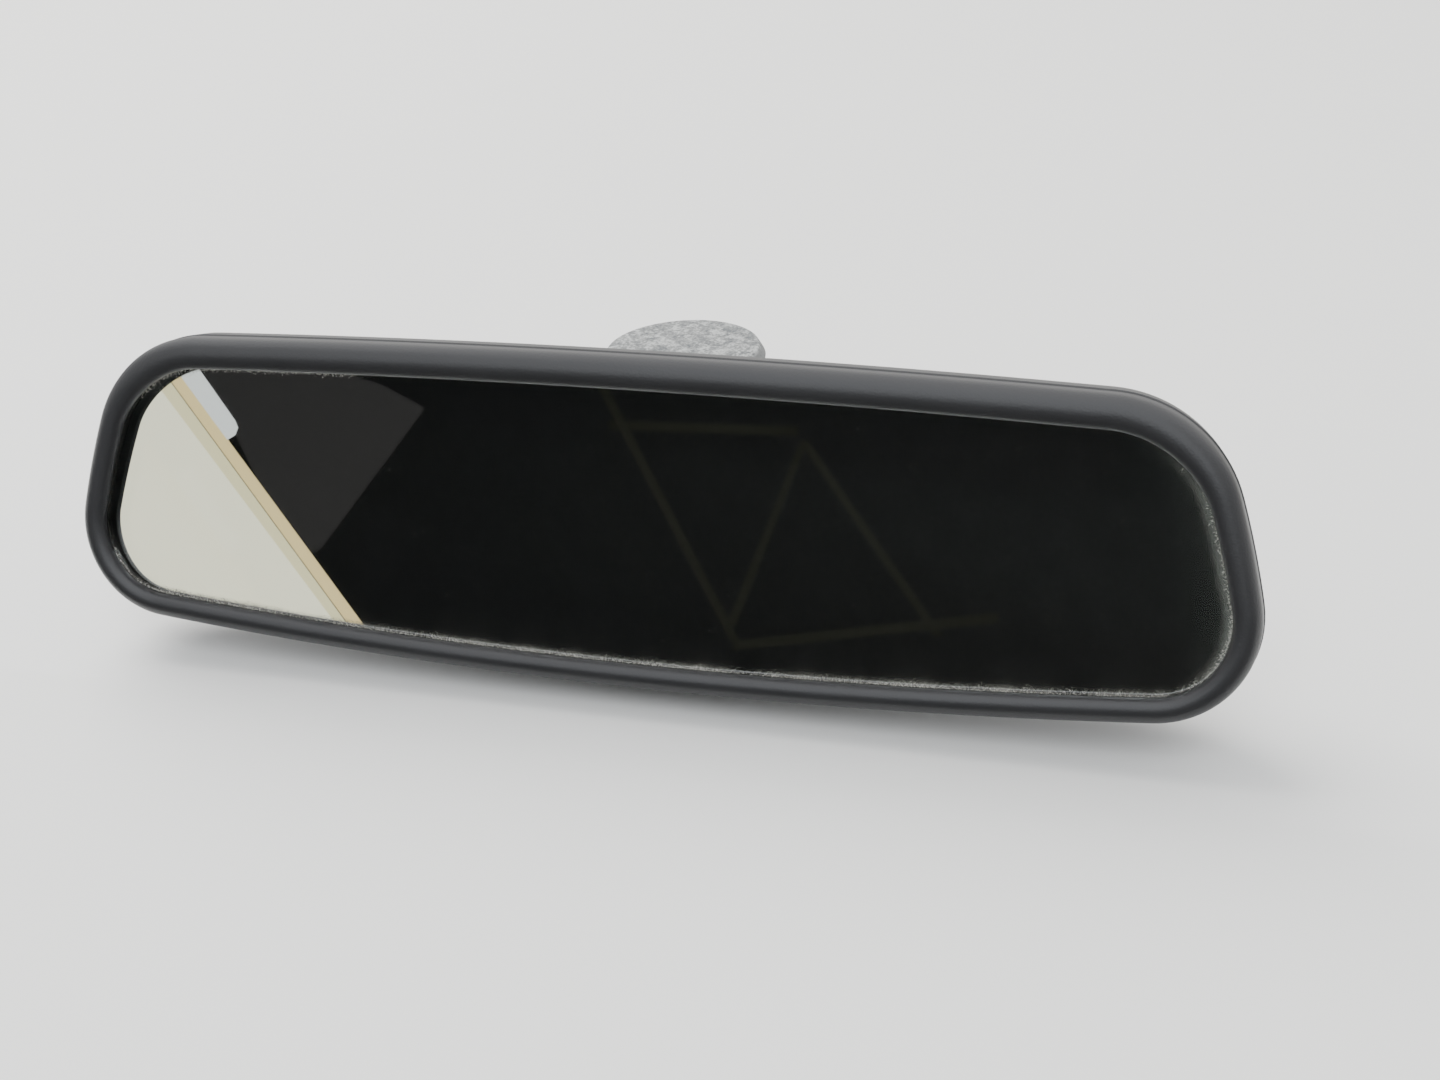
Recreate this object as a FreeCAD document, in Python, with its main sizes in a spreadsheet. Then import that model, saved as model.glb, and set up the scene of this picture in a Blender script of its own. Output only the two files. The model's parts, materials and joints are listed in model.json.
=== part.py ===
"""Interior rearview mirror with a day/night lever, as a parametric FreeCAD document.

Row frame (millimetres): the origin is the centre of the foot's bonding face, +Z is that face's
outward normal, X runs along the mirror and the glass faces -Y.
Head frame: the same X, with Y = 0 on the front of the glass, +Y towards the back of the mirror,
and Z = 0 half way up the head.  The head is turned down from the row frame by rest_tilt about
the centre of the ball.
Socket frame: origin at the centre of the ball, +Z out of the mouth of the socket.
"""
import FreeCAD, Part
import Sketcher
import math
import os

from FreeCAD import Placement, Rotation, Vector

SIZES = [
    # Outline of the head, before its corners are rounded
    ("top_half_width", 112.7, "half width of the head at its nominal top corners"),
    ("bottom_half_width", 127.5, "half width of the head at its nominal bottom corners"),
    ("top_edge_height", 31.4, "nominal top corners above the middle of the head"),
    ("bottom_edge_drop", 27.7, "nominal bottom corners below the middle of the head"),
    ("top_bulge", 2.2, "rise of the top edge in its middle"),
    ("bottom_bulge", 6.4, "sag of the bottom edge in its middle"),
    ("side_bulge", 2.6, "bulge of each end"),
    ("top_corner_radius", 26.3, "outline radius of the top corners"),
    ("bottom_corner_radius", 20.3, "outline radius of the bottom corners"),
    # Front bezel
    ("rim_top", 6.9, "width of the rim above the glass"),
    ("rim_side", 5.5, "width of the rim at each end"),
    ("rim_bottom", 5.2, "width of the rim below the glass"),
    ("rim_front", 2.8, "crest of the rim in front of the glass"),
    ("rim_outer_round", 3.2, "round on the outer front edge of the rim"),
    ("rim_inner_round", 1.9, "round on the inner front edge of the rim"),
    ("parting_depth", 3.2, "joint of bezel and shell behind the glass front"),
    ("skirt_wall", 2.0, "wall of the bezel outside the glass"),
    ("tongue_inset", 2.3, "bezel tongue, outer face in from the outline"),
    ("tongue_wall", 1.1, "wall of the bezel tongue"),
    ("tongue_depth", 4.8, "end of the tongue behind the glass front"),
    # Glass and what lies behind it
    ("glass_lap", 1.6, "glass hidden behind the lip of the bezel"),
    ("glass_gap", 0.15, "play of the glass inside the bezel"),
    ("glass_top", 4.9, "thickness of the glass wedge at its top edge"),
    ("glass_bottom", 1.9, "thickness of the glass wedge at its bottom edge"),
    ("silver_thickness", 0.25, "reflecting layer and its paint"),
    ("pad_thickness", 0.8, "adhesive sheet behind the reflecting layer"),
    ("pad_inset", 4.0, "adhesive sheet in from the edge of the glass"),
    # Rear shell
    ("shell_depth", 31.6, "back of the shell behind the glass front"),
    ("shell_wall", 1.8, "wall of the shell"),
    ("shell_band", 4.5, "band of the shell behind the parting line, straight above and below"),
    ("end_taper", 0.8, "narrowing of that band at each end"),
    ("dome_drop", 6.0, "deepest line of the shell below the middle of the head"),
    ("opening_radius", 14.6, "opening for the ball joint in the back of the shell"),
    ("opening_start", 3.5, "start of the opening's cut behind the ball's centre"),
    ("slot_width", 27.0, "slot for the lever under the shell"),
    ("slot_front", 13.0, "front end of the lever slot behind the glass front"),
    ("slot_back", 24.5, "back end of the lever slot behind the glass front"),
    ("slot_rise", 3.0, "top of the lever slot above the lever pin"),
    ("rod_boss_start", 27.0, "inner end of each boss for the hinge rod"),
    ("rod_boss_end", 33.0, "outer end of each boss for the hinge rod"),
    ("rod_boss_half", 3.5, "half thickness of the bosses for the hinge rod"),
    ("pin_boss_start", 14.2, "inner end of each boss for the lever pin"),
    ("pin_boss_end", 18.5, "outer end of each boss for the lever pin"),
    ("pin_boss_half", 3.0, "half thickness of the bosses for the lever pin"),
    ("leaf_pad_half", 11.0, "half width of the pad under the leaf spring"),
    ("leaf_pad_front", 7.2, "front of the pad under the leaf spring"),
    ("bumper_rib_half", 2.5, "half thickness of the ribs that carry the rubber bumpers"),
    # Foot and ball stud
    ("foot_face_radius", 16.5, "bonding face"),
    ("foot_rim_radius", 17.5, "widest part of the foot's flared rim"),
    ("foot_rim_depth", 2.6, "height of the flared rim"),
    ("foot_thickness", 4.2, "thickness of the foot's disc"),
    ("foot_bevel", 1.2, "bevel round the back of the foot's disc"),
    ("boss_cover", 1.0, "boss of the foot short of the bonding face"),
    ("boss_radius", 6.2, "boss that carries the stud"),
    ("boss_root_radius", 9.0, "boss where it leaves the disc"),
    ("boss_end", 18.0, "end of the boss from the ball's centre"),
    ("stalk_angle", 42.0, "stud away from the foot's axis, degrees"),
    ("stalk_reach", 35.0, "ball's centre from the centre of the bonding face"),
    ("neck_radius", 3.6, "neck of the stud"),
    ("stud_end", 29.0, "end of the stud's shank from the ball's centre"),
    ("ball_radius", 8.0, "ball"),
    # Ball socket
    ("ball_depth", 20.5, "ball's centre behind the glass front"),
    ("rest_tilt", 15.0, "head turned up from the foot's plane, degrees"),
    ("socket_angle", 42.0, "mouth of the socket above the head's Y axis, degrees"),
    ("running_gap", 0.05, "radial gap of a running fit"),
    ("liner_wall", 1.1, "nylon liner between ball and socket"),
    ("socket_wall", 1.6, "wall of the socket"),
    ("liner_back", 1.4, "back edge of the liner's band behind the ball's centre"),
    ("seat_front", 6.4, "front edge of the liner's cup behind the ball's centre"),
    ("mouth_height", 4.9, "mouth of the socket in front of the ball's centre"),
    ("lip_height", 0.5, "sloping lip of the clamping ring"),
    ("lip_wall", 0.4, "end of the clamping ring's lip"),
    ("web_step", 0.4, "web between the ears in from their outline"),
    ("ring_flange", 2.0, "flange of the clamping ring"),
    ("ring_gap", 0.3, "gap between the clamping ring and the bracket"),
    ("screw_offset", 13.7, "clamping screws either side of the ball"),
    ("screw_radius", 1.25, "clamping screw"),
    ("screw_head_radius", 2.1, "head of a clamping screw"),
    ("screw_head_height", 1.2, "height of a screw head"),
    ("screw_length", 9.5, "clamping screw under its head"),
    ("screw_slot_width", 0.6, "slot in a screw head"),
    ("screw_slot_depth", 0.4, "depth of the slot in a screw head"),
    ("washer_height", 0.7, "conical spring washer"),
    ("washer_spread", 0.5, "foot of a washer beyond the screw head"),
    ("ear_radius", 3.3, "ears that the clamping screws pass through"),
    # Toggle bracket and its hinge
    ("bracket_front", 8.6, "front face of the bracket plate"),
    ("bracket_wall", 2.4, "bracket plate"),
    ("bracket_half_width", 26.0, "half width of the bracket plate"),
    ("bracket_top", 20.0, "top of the bracket plate"),
    ("bracket_bottom", 17.0, "bottom of the bracket plate, below the middle"),
    ("hinge_depth", 12.0, "hinge rod behind the glass front"),
    ("hinge_height", 19.0, "hinge rod above the middle of the head"),
    ("rod_radius", 1.25, "hinge rod"),
    ("rod_half_length", 36.0, "half length of the hinge rod"),
    ("knuckle_radius", 3.0, "bracket knuckles round the rod"),
    ("knuckle_length", 6.0, "length of each knuckle"),
    ("clip_radius", 2.9, "retaining clip on the rod"),
    ("clip_thickness", 0.6, "retaining clip"),
    ("clip_inset", 1.2, "retaining clip in from the end of the rod"),
    ("clip_mouth", 2.0, "mouth of the retaining clip"),
    # Day/night lever
    ("lever_pin_depth", 15.0, "lever pin behind the glass front"),
    ("lever_pin_drop", 26.0, "lever pin below the middle of the head"),
    ("lever_pin_radius", 1.2, "lever pin"),
    ("lever_pin_half_length", 18.0, "half length of the lever pin"),
    ("hub_radius", 3.0, "hub of the lever"),
    ("hub_half_length", 12.0, "half length of the hub"),
    ("tab_length", 17.0, "end of the tab from the pin"),
    ("tab_thickness", 2.6, "tab of the lever"),
    ("slot_relief", 0.95, "full width of the tab begins beyond the hub by this"),
    ("tab_half_width", 12.6, "half width of the tab"),
    ("tab_angle", 10.0, "tab below the head's Y axis at rest, degrees"),
    ("crank_reach", 5.6, "drive nose from the lever pin"),
    ("lever_throw", 30.0, "travel of the lever, degrees"),
    ("nose_radius", 1.4, "drive nose of the lever"),
    ("nose_half_length", 3.4, "half length of the drive nose"),
    ("nose_gap", 0.35, "play of the drive nose in its fork"),
    ("fork_wall", 1.5, "cheeks of the fork"),
    ("fork_step", 0.4, "fork in from the ends of the drive nose"),
    ("fork_gap", 0.5, "bridge of the fork above the drive nose"),
    ("fork_rise", 0.8, "cheeks of the fork above the hub of the lever"),
    ("grip_wall", 0.9, "soft sleeve on the tab"),
    ("grip_length", 7.5, "length of the soft sleeve"),
    ("crank_thickness", 2.0, "web between hub and drive nose"),
    ("crank_step", 0.9, "crank web in from the ends of the nose"),
    ("leaf_half_width", 10.0, "half width of the leaf spring"),
    ("leaf_finger", 4.8, "width of each finger of the leaf spring"),
    ("leaf_thickness", 0.4, "leaf spring"),
    ("leaf_front", 7.4, "front edge of the leaf spring's foot"),
    ("leaf_drop", 3.1, "leaf spring's foot below the lever pin"),
    ("leaf_rise", 2.0, "fingers of the leaf spring above the lever pin"),
    ("leaf_gap", 0.5, "fingers of the leaf spring off the hub"),
    ("leaf_screw_depth", 9.2, "leaf spring's screw behind the glass front"),
    ("leaf_screw_radius", 1.0, "leaf spring's screw"),
    ("leaf_screw_length", 2.2, "leaf spring's screw below the leaf"),
    ("leaf_head_foot", 1.7, "radius of that screw's head on the leaf"),
    ("leaf_head_top", 1.2, "radius of that screw's head at its top"),
    # Pads
    ("felt_offset", 20.0, "felt pads either side of the middle"),
    ("felt_drop", 12.0, "felt pads below the middle of the head"),
    ("felt_radius", 3.0, "felt pad"),
    ("felt_thickness", 1.1, "felt pad"),
    ("bumper_offset", 23.0, "rubber bumpers either side of the middle"),
    ("bumper_drop", 14.0, "rubber bumpers below the middle of the head"),
    ("bumper_front", 14.2, "front of the rubber bumpers behind the glass front"),
    ("bumper_length", 2.4, "rubber bumper"),
    ("bumper_radius", 2.3, "rubber bumper"),
    ("foam_start", 62.0, "inner end of each foam block"),
    ("foam_end", 92.0, "outer end of each foam block"),
    ("foam_front", 8.5, "front of the foam blocks behind the glass front"),
    ("foam_back", 18.0, "back of the foam blocks behind the glass front"),
    ("foam_half_height", 13.0, "half height of the foam blocks"),
]

doc = FreeCAD.newDocument("RearviewMirror")
sheet = doc.addObject("Spreadsheet::Sheet", "Sizes")
for row, (alias, value, note) in enumerate(SIZES, start=1):
    sheet.set(f"A{row}", note)
    sheet.set(f"B{row}", str(value))
    sheet.setAlias(f"B{row}", alias)
doc.recompute()

NODES = []


def size(alias):
    return float(sheet.get(alias))


def cell(expression):
    """Point each alias of an expression at the sheet."""
    words = sorted((alias for alias, _, _ in SIZES), key=len, reverse=True)
    out, word = "", ""
    for letter in expression + " ":
        if letter.isalnum() or letter == "_":
            word += letter
            continue
        out += (f"Sizes.{word}" if word in words else word) + letter
        word = ""
    return out.strip()


def bind(thing, **expressions):
    """Bind properties of an object to expressions of the sheet's aliases."""
    for name, expression in expressions.items():
        thing.setExpression(name, cell(expression))
    return thing


def put(thing, x="0", y="0", z="0", axis=Vector(0, 0, 1), turn="0"):
    """Place an object by expressions for its position and its turn about an axis."""
    thing.Placement = Placement(Vector(), Rotation(axis, 1))
    for name, expression in zip("xyz", (x, y, z)):
        thing.setExpression(f"Placement.Base.{name}", cell(expression))
    thing.setExpression("Placement.Rotation.Angle", cell(turn))
    return thing


def cylinder(name, radius, height, **place):
    thing = doc.addObject("Part::Cylinder", name)
    return put(bind(thing, Radius=radius, Height=height), **place)


def cone(name, radius_1, radius_2, height, **place):
    thing = doc.addObject("Part::Cone", name)
    return put(bind(thing, Radius1=radius_1, Radius2=radius_2, Height=height), **place)


def ball(name, radius, **place):
    return put(bind(doc.addObject("Part::Sphere", name), Radius=radius), **place)


def box(name, low, high, **place):
    """A box between two corners given as expressions, turned with its frame about the origin."""
    thing = doc.addObject("Part::Box", name)
    spans = {key: f"({top}) - ({base})" for key, base, top in
             zip(("Length", "Width", "Height"), low, high)}
    return put(bind(thing, **spans), *low, **place)


def rod(name, radius, low, high, y, z):
    """A cylinder along X from low to high."""
    return cylinder(name, radius, f"({high}) - ({low})", x=low, y=y, z=z,
                    axis=Vector(0, 1, 0), turn="90")


def fuse(name, *shapes):
    thing = doc.addObject("Part::MultiFuse", name)
    thing.Shapes = list(shapes)
    thing.Refine = True
    return thing


def cut(name, base, *tools):
    thing = doc.addObject("Part::Cut", name)
    thing.Base = base
    thing.Tool = tools[0] if len(tools) == 1 else fuse(name + "_tools", *tools)
    thing.Refine = True
    return thing


def common(name, first, second):
    thing = doc.addObject("Part::Common", name)
    thing.Base = first
    thing.Tool = second
    return thing


def compound(name, *shapes):
    thing = doc.addObject("Part::Compound", name)
    thing.Links = list(shapes)
    return thing


def solid(name, shape):
    thing = doc.addObject("Part::Feature", name)
    thing.Shape = shape
    return thing


def node(label, thing, place=Placement()):
    """Keep an object as a finished piece of the mirror, in its place in the row frame."""
    if any("Placement" in path for path, _ in thing.ExpressionEngine):
        thing = compound(thing.Name + "Placed", thing)
    thing.Label = label
    thing.Placement = place.multiply(thing.Placement)
    NODES.append(thing)
    return thing


# ---------------------------------------------------------------- frames

def head_place():
    """Head frame in the row frame: the ball's centre stays, the head turns by rest_tilt."""
    turn = Rotation(Vector(1, 0, 0), -size("rest_tilt"))
    lean = math.radians(size("stalk_angle"))
    centre = Vector(0, -math.sin(lean), -math.cos(lean)) * size("stalk_reach")
    return Placement(centre - turn.multVec(Vector(0, size("ball_depth"), 0)), turn)


def socket_place():
    """Socket frame in the head frame."""
    turn = Rotation(Vector(1, 0, 0), size("socket_angle") - 90)
    return Placement(Vector(0, size("ball_depth"), 0), turn)


HEAD = head_place()
SOCKET = socket_place()
IN_HEAD = {"y": "ball_depth", "axis": Vector(1, 0, 0), "turn": "socket_angle - 90"}


# ---------------------------------------------------------------- outlines

def side_arc(start, end, bulge):
    """Centre and radius of the arc from start to end, clockwise, that bulges outwards."""
    chord = end - start
    radius = (chord.Length ** 2 / 4 + bulge ** 2) / (2 * bulge)
    outward = Vector(-chord.z, 0, chord.x).normalize()
    return (start + end) / 2 + outward * (bulge - radius), radius


def corner_centre(first, second, radius, near):
    """Centre of the corner arc inside two side arcs, on the side of the nominal corner."""
    (c1, r1), (c2, r2) = first, second
    r1, r2 = r1 - radius, r2 - radius
    between = c2 - c1
    along = (r1 ** 2 - r2 ** 2 + between.Length ** 2) / (2 * between.Length)
    across = math.sqrt(r1 ** 2 - along ** 2)
    unit = Vector(between).normalize()
    side = Vector(-unit.z, 0, unit.x)
    choices = [c1 + unit * along + side * across * sign for sign in (1, -1)]
    return min(choices, key=lambda point: point.distanceToPoint(near))


def outline(corners, bulges, radii, insets, depth):
    """Closed wire at one depth: four bulging sides joined by tangent corner arcs.

    corners run clockwise from the top left; side number i leaves corner number i.
    """
    sides = []
    for index, corner in enumerate(corners):
        centre, radius = side_arc(corner, corners[(index + 1) % 4], bulges[index])
        sides.append((centre, radius - insets[index]))
    arcs = []
    for index, corner in enumerate(corners):
        before, after = sides[index - 1], sides[index]
        radius = radii[index] - (insets[index - 1] + insets[index]) / 2
        centre = corner_centre(before, after, radius, corner)
        ends = [c + (centre - c).normalize() * r for c, r in (before, after)]
        crown = centre + ((ends[0] + ends[1]) / 2 - centre).normalize() * radius
        arcs.append((ends[0], crown, ends[1]))
    edges = []
    shift = Vector(0, depth, 0)
    for index, (start, crown, end) in enumerate(arcs):
        edges.append(Part.Arc(start + shift, crown + shift, end + shift).toShape())
        centre, radius = sides[index]
        target = arcs[(index + 1) % 4][0]
        middle = centre + ((end + target) / 2 - centre).normalize() * radius
        edges.append(Part.Arc(end + shift, middle + shift, target + shift).toShape())
    return Part.Wire(edges)


def head_outline(depth, top=0.0, side=0.0, bottom=0.0):
    """Outline of the head at one depth, moved in by top, side and bottom."""
    corners = [Vector(sign * half, 0, height) for sign, half, height in (
        (-1, size("top_half_width"), size("top_edge_height")),
        (1, size("top_half_width"), size("top_edge_height")),
        (1, size("bottom_half_width"), -size("bottom_edge_drop")),
        (-1, size("bottom_half_width"), -size("bottom_edge_drop")))]
    bulges = [size("top_bulge"), size("side_bulge"), size("bottom_bulge"), size("side_bulge")]
    radii = [size("top_corner_radius")] * 2 + [size("bottom_corner_radius")] * 2
    return outline(corners, bulges, radii, [top, side, bottom, side], depth)


def slab(wire, thickness):
    """Solid of an outline, pushed back from its own depth."""
    return Part.Face(wire).extrude(Vector(0, thickness, 0))


def even(inset):
    return {"top": inset, "side": inset, "bottom": inset}


def rim(extra=0.0):
    """Insets of the opening of the bezel, moved out by extra."""
    return {key: size("rim_" + key) - extra for key in ("top", "side", "bottom")}


# ---------------------------------------------------------------- foot and stud

def mount_foot():
    """Cast disc with a flared rim, and a boss leaning towards the mirror for the ball stud."""
    body = doc.addObject("PartDesign::Body", "FootDisc")
    sketch = body.newObject("Sketcher::SketchObject", "FootProfile")
    plane = [f for f in body.Origin.OriginFeatures if f.Role == "XZ_Plane"][0]
    sketch.AttachmentSupport = [(plane, "")]
    sketch.MapMode = "FlatFace"
    profile = [("0", "0"), ("foot_face_radius", "0"), ("foot_rim_radius", "-foot_rim_depth"),
               ("foot_rim_radius - foot_bevel", "-foot_thickness"), ("0", "-foot_thickness")]
    draw_polygon(sketch, profile)
    turned = body.newObject("PartDesign::Revolution", "FootTurned")
    turned.Profile = sketch
    turned.ReferenceAxis = (sketch, ["V_Axis"])
    turned.Angle = 360
    body.Tip = turned
    boss = cone("FootBoss", "boss_radius", "boss_root_radius",
                "stalk_reach - boss_end", **on_stalk("boss_end"))
    under = cylinder("FootUnder", "2 * foot_rim_radius", "stalk_reach",
                     z="-stalk_reach - boss_cover")
    whole = fuse("FootCast", body, common("FootBossTrimmed", boss, under))
    bore = cylinder("FootBore", "neck_radius", "stud_end - boss_end + neck_radius",
                    **on_stalk("boss_end - neck_radius"))
    node("mount_foot", cut("Foot", whole, bore))


def on_stalk(distance):
    """Place something on the stud's axis, at a distance from the ball's centre, facing the foot."""
    return {"y": f"-(stalk_reach - ({distance})) * sin(stalk_angle * 1deg)",
            "z": f"-(stalk_reach - ({distance})) * cos(stalk_angle * 1deg)",
            "axis": Vector(1, 0, 0), "turn": "-stalk_angle"}


def draw_polygon(sketch, points):
    """Closed polygon whose corners are bound to expressions."""
    count = len(points)
    for index in range(count):
        sketch.addGeometry(Part.LineSegment(Vector(index, index * index, 0),
                                            Vector(index + 1, (index + 1) ** 2, 0)))
    for index in range(count):
        sketch.addConstraint(Sketcher.Constraint("Coincident", index, 2, (index + 1) % count, 1))
    for index, point in enumerate(points):
        for kind, expression in zip(("DistanceX", "DistanceY"), point):
            number = sketch.addConstraint(Sketcher.Constraint(kind, -1, 1, index, 1, 1.0))
            sketch.setExpression(f"Constraints[{number}]", cell(expression))


def ball_stud():
    """Steel stud: ball, neck and a shank pressed into the boss of the foot."""
    sphere = ball("StudBall", "ball_radius", **on_stalk("0"))
    neck = cylinder("StudNeck", "neck_radius", "stud_end", **on_stalk("0"))
    node("ball_stud", fuse("Stud", sphere, neck))


# ---------------------------------------------------------------- ball socket

SOCKET_RADIUS = "ball_radius + 2 * running_gap + liner_wall"


def spherical_band(name, low, high):
    """Nylon band between the ball and the socket, between two heights of the socket frame."""
    block = cylinder(name + "Block", "2 * ball_radius", f"({high}) - ({low})", z=low)
    outer = ball(name + "Outer", "ball_radius + running_gap + liner_wall")
    inner = ball(name + "Inner", "ball_radius + running_gap")
    return cut(name, common(name + "Band", outer, block), inner)


def liner_and_seat():
    """The split nylon liner: a band at the mouth and a cup behind the ball."""
    place = HEAD.multiply(SOCKET)
    node("ball_liner", spherical_band("Liner", "-liner_back", "mouth_height"), place)
    node("ball_seat", spherical_band("Seat", "-2 * ball_radius", "-seat_front"), place)


def socket_ears(name, low, high):
    """The ears for both clamping screws, joined to the socket by a web."""
    ears = [cylinder(f"{name}Ear{i}", "ear_radius", f"({high}) - ({low})",
                     x=f"{sign} * screw_offset", z=low) for i, sign in enumerate((-1, 1))]
    web = box(f"{name}Web", ("-screw_offset", "web_step - ear_radius", low),
              ("screw_offset", "ear_radius - web_step", high))
    return [*ears, web]


def clamp_ring():
    """Ring that holds the ball in the bracket, clamped by two screws."""
    foot = "ring_gap / 2"
    wall = cylinder("RingWall", SOCKET_RADIUS + " + socket_wall",
                    f"mouth_height - lip_height - {foot}", z=foot)
    lip = cone("RingLip", SOCKET_RADIUS + " + socket_wall", SOCKET_RADIUS + " + lip_wall",
               "lip_height", z="mouth_height - lip_height")
    ears = socket_ears("Ring", foot, f"{foot} + ring_flange")
    holes = [cylinder(f"RingHole{i}", "screw_radius + running_gap", "2 * mouth_height",
                      x=f"{sign} * screw_offset", z="-ring_flange") for i, sign in enumerate((-1, 1))]
    whole = fuse("RingWhole", wall, lip, *ears)
    ring = cut("Ring", whole, ball("RingHollow", SOCKET_RADIUS), *holes)
    node("clamp_ring", ring, HEAD.multiply(SOCKET))


def clamp_screws():
    """Two screws with slotted heads, each on a spring washer that sets the ball's friction."""
    screws, washers = [], []
    seat = "ring_gap / 2 + ring_flange"
    under = f"{seat} + washer_height"
    slot_foot = f"{under} + screw_head_height - screw_slot_depth"
    for index, sign in enumerate((-1, 1)):
        side = f"{sign} * screw_offset"
        shank = cylinder(f"ScrewShank{index}", "screw_radius", "screw_length + washer_height",
                         x=side, z=f"{under} - screw_length")
        head = cone(f"ScrewHead{index}", "screw_head_radius",
                    "screw_head_radius - screw_head_height / 2", "screw_head_height",
                    x=side, z=under)
        slot = box(f"ScrewSlot{index}",
                   (f"{side} - 2 * screw_head_radius", "-screw_slot_width / 2", slot_foot),
                   (f"{side} + 2 * screw_head_radius", "screw_slot_width / 2",
                    f"{slot_foot} + screw_head_height"))
        screws.append(cut(f"Screw{index}", fuse(f"ScrewWhole{index}", shank, head), slot))
        disc = cone(f"WasherDisc{index}", "screw_head_radius + washer_spread",
                    "screw_head_radius - washer_spread / 2", "washer_height", x=side, z=seat)
        hole = cylinder(f"WasherHole{index}", "screw_radius + running_gap", "3 * washer_height",
                        x=side, z=f"{seat} - washer_height")
        washers.append(cut(f"Washer{index}", disc, hole))
    node("clamp_screws", compound("Screws", *screws), HEAD.multiply(SOCKET))
    node("spring_washers", compound("Washers", *washers), HEAD.multiply(SOCKET))


# ---------------------------------------------------------------- toggle bracket

def fork():
    """Two cheeks and a bridge below the plate, round the drive nose of the lever."""
    nose = "(lever_pin_depth - crank_reach * sin(lever_throw / 2 * 1deg))"
    reach = "(nose_radius + nose_gap)"
    top = "-lever_pin_drop + crank_reach + nose_radius + fork_gap"
    bottom = "-lever_pin_drop + hub_radius + fork_rise"
    left, right = "fork_step - nose_half_length", "nose_half_length - fork_step"
    back = f"{nose} + {reach} + fork_wall"
    return [box("ForkFront", (left, f"{nose} - {reach} - fork_wall", bottom),
                (right, f"{nose} - {reach}", top)),
            box("ForkBack", (left, f"{nose} + {reach}", bottom), (right, back, top)),
            box("ForkBridge", (left, "bracket_front", top),
                (right, back, "fork_wall - bracket_bottom"))]


def toggle_bracket():
    """Plate behind the glass with hinge knuckles, the back half of the socket and a fork."""
    plate = box("BracketPlate", ("-bracket_half_width", "bracket_front", "-bracket_bottom"),
                ("bracket_half_width", "bracket_front + bracket_wall", "bracket_top"))
    knuckles = [rod(f"Knuckle{i}", "knuckle_radius", low, high, "hinge_depth", "hinge_height")
                for i, (low, high) in enumerate((
                    ("-bracket_half_width", "knuckle_length - bracket_half_width"),
                    ("bracket_half_width - knuckle_length", "bracket_half_width")))]
    cup = cylinder("CupBoss", SOCKET_RADIUS + " + socket_wall", "shell_depth - ring_gap / 2",
                   z="-shell_depth")
    ears = socket_ears("Cup", "-shell_depth", "-ring_gap / 2")
    frame = fuse("CupWhole", cup, *ears)
    put(frame, **IN_HEAD)
    keep = box("CupKeep", ("-bracket_half_width", "bracket_front", "-bracket_bottom"),
               ("bracket_half_width", "2 * shell_depth", "bracket_top"))
    whole = fuse("BracketWhole", plate, *knuckles, *fork(), common("CupTrimmed", frame, keep))
    hollow = ball("CupHollow", SOCKET_RADIUS, y="ball_depth")
    bores = fuse("CupBores", *[cylinder(f"CupBore{i}", "screw_radius", "screw_length",
                                        x=f"{sign} * screw_offset", z="ring_flange - screw_length")
                               for i, sign in enumerate((-1, 1))])
    put(bores, **IN_HEAD)
    rod_hole = rod("KnuckleBore", "rod_radius + running_gap", "-rod_half_length",
                   "rod_half_length", "hinge_depth", "hinge_height")
    node("toggle_bracket", cut("Bracket", whole, hollow, bores, rod_hole), HEAD)


def hinge():
    """Rod through the bracket's knuckles and the shell's bosses, with a clip at each end."""
    at = ("hinge_depth", "hinge_height")
    pin = rod("HingeRod", "rod_radius", "-rod_half_length", "rod_half_length", *at)
    node("hinge_rod", pin, HEAD)
    clips = []
    for index, low in enumerate(("clip_inset - rod_half_length",
                                 "rod_half_length - clip_inset - clip_thickness")):
        disc = rod(f"ClipDisc{index}", "clip_radius", low, f"{low} + clip_thickness", *at)
        hole = rod(f"ClipHole{index}", "rod_radius", "-2 * rod_half_length",
                   "2 * rod_half_length", *at)
        mouth = box(f"ClipMouth{index}",
                    ("-2 * rod_half_length", "hinge_depth - clip_mouth / 2",
                     "hinge_height - 2 * clip_radius"),
                    ("2 * rod_half_length", "hinge_depth + clip_mouth / 2", "hinge_height"))
        clips.append(cut(f"Clip{index}", disc, hole, mouth))
    node("rod_clips", compound("Clips", *clips), HEAD)


# ---------------------------------------------------------------- day/night lever

def lever_place(swing):
    """The lever's own frame: +Y along the tab, X along the pin; swing is its turn at rest."""
    return {"y": "lever_pin_depth", "z": "-lever_pin_drop", "axis": Vector(1, 0, 0), "turn": swing}


def lever_tab():
    """Tab with a rounded end, narrowed to the hub beside the pin, and the hub itself."""
    hub = rod("LeverHub", "hub_radius", "-hub_half_length", "hub_half_length", "0", "0")
    tab = box("LeverTab", ("-tab_half_width", "0", "-tab_thickness / 2"),
              ("tab_half_width", "tab_length - tab_thickness / 2", "tab_thickness / 2"))
    tip = rod("LeverTip", "tab_thickness / 2", "-tab_half_width", "tab_half_width",
              "tab_length - tab_thickness / 2", "0")
    reliefs = [box(f"LeverRelief{i}", (low, "-2 * hub_radius", "-2 * hub_radius"),
                   (high, "hub_radius + running_gap + slot_relief", "2 * hub_radius"))
               for i, (low, high) in enumerate((("-2 * tab_half_width", "-hub_half_length"),
                                                ("hub_half_length", "2 * tab_half_width")))]
    blade = fuse("LeverBladeWhole", hub, cut("LeverTabEnds", fuse("LeverBlade", tab, tip), *reliefs))
    return put(blade, axis=Vector(1, 0, 0), turn="-tab_angle")


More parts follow.
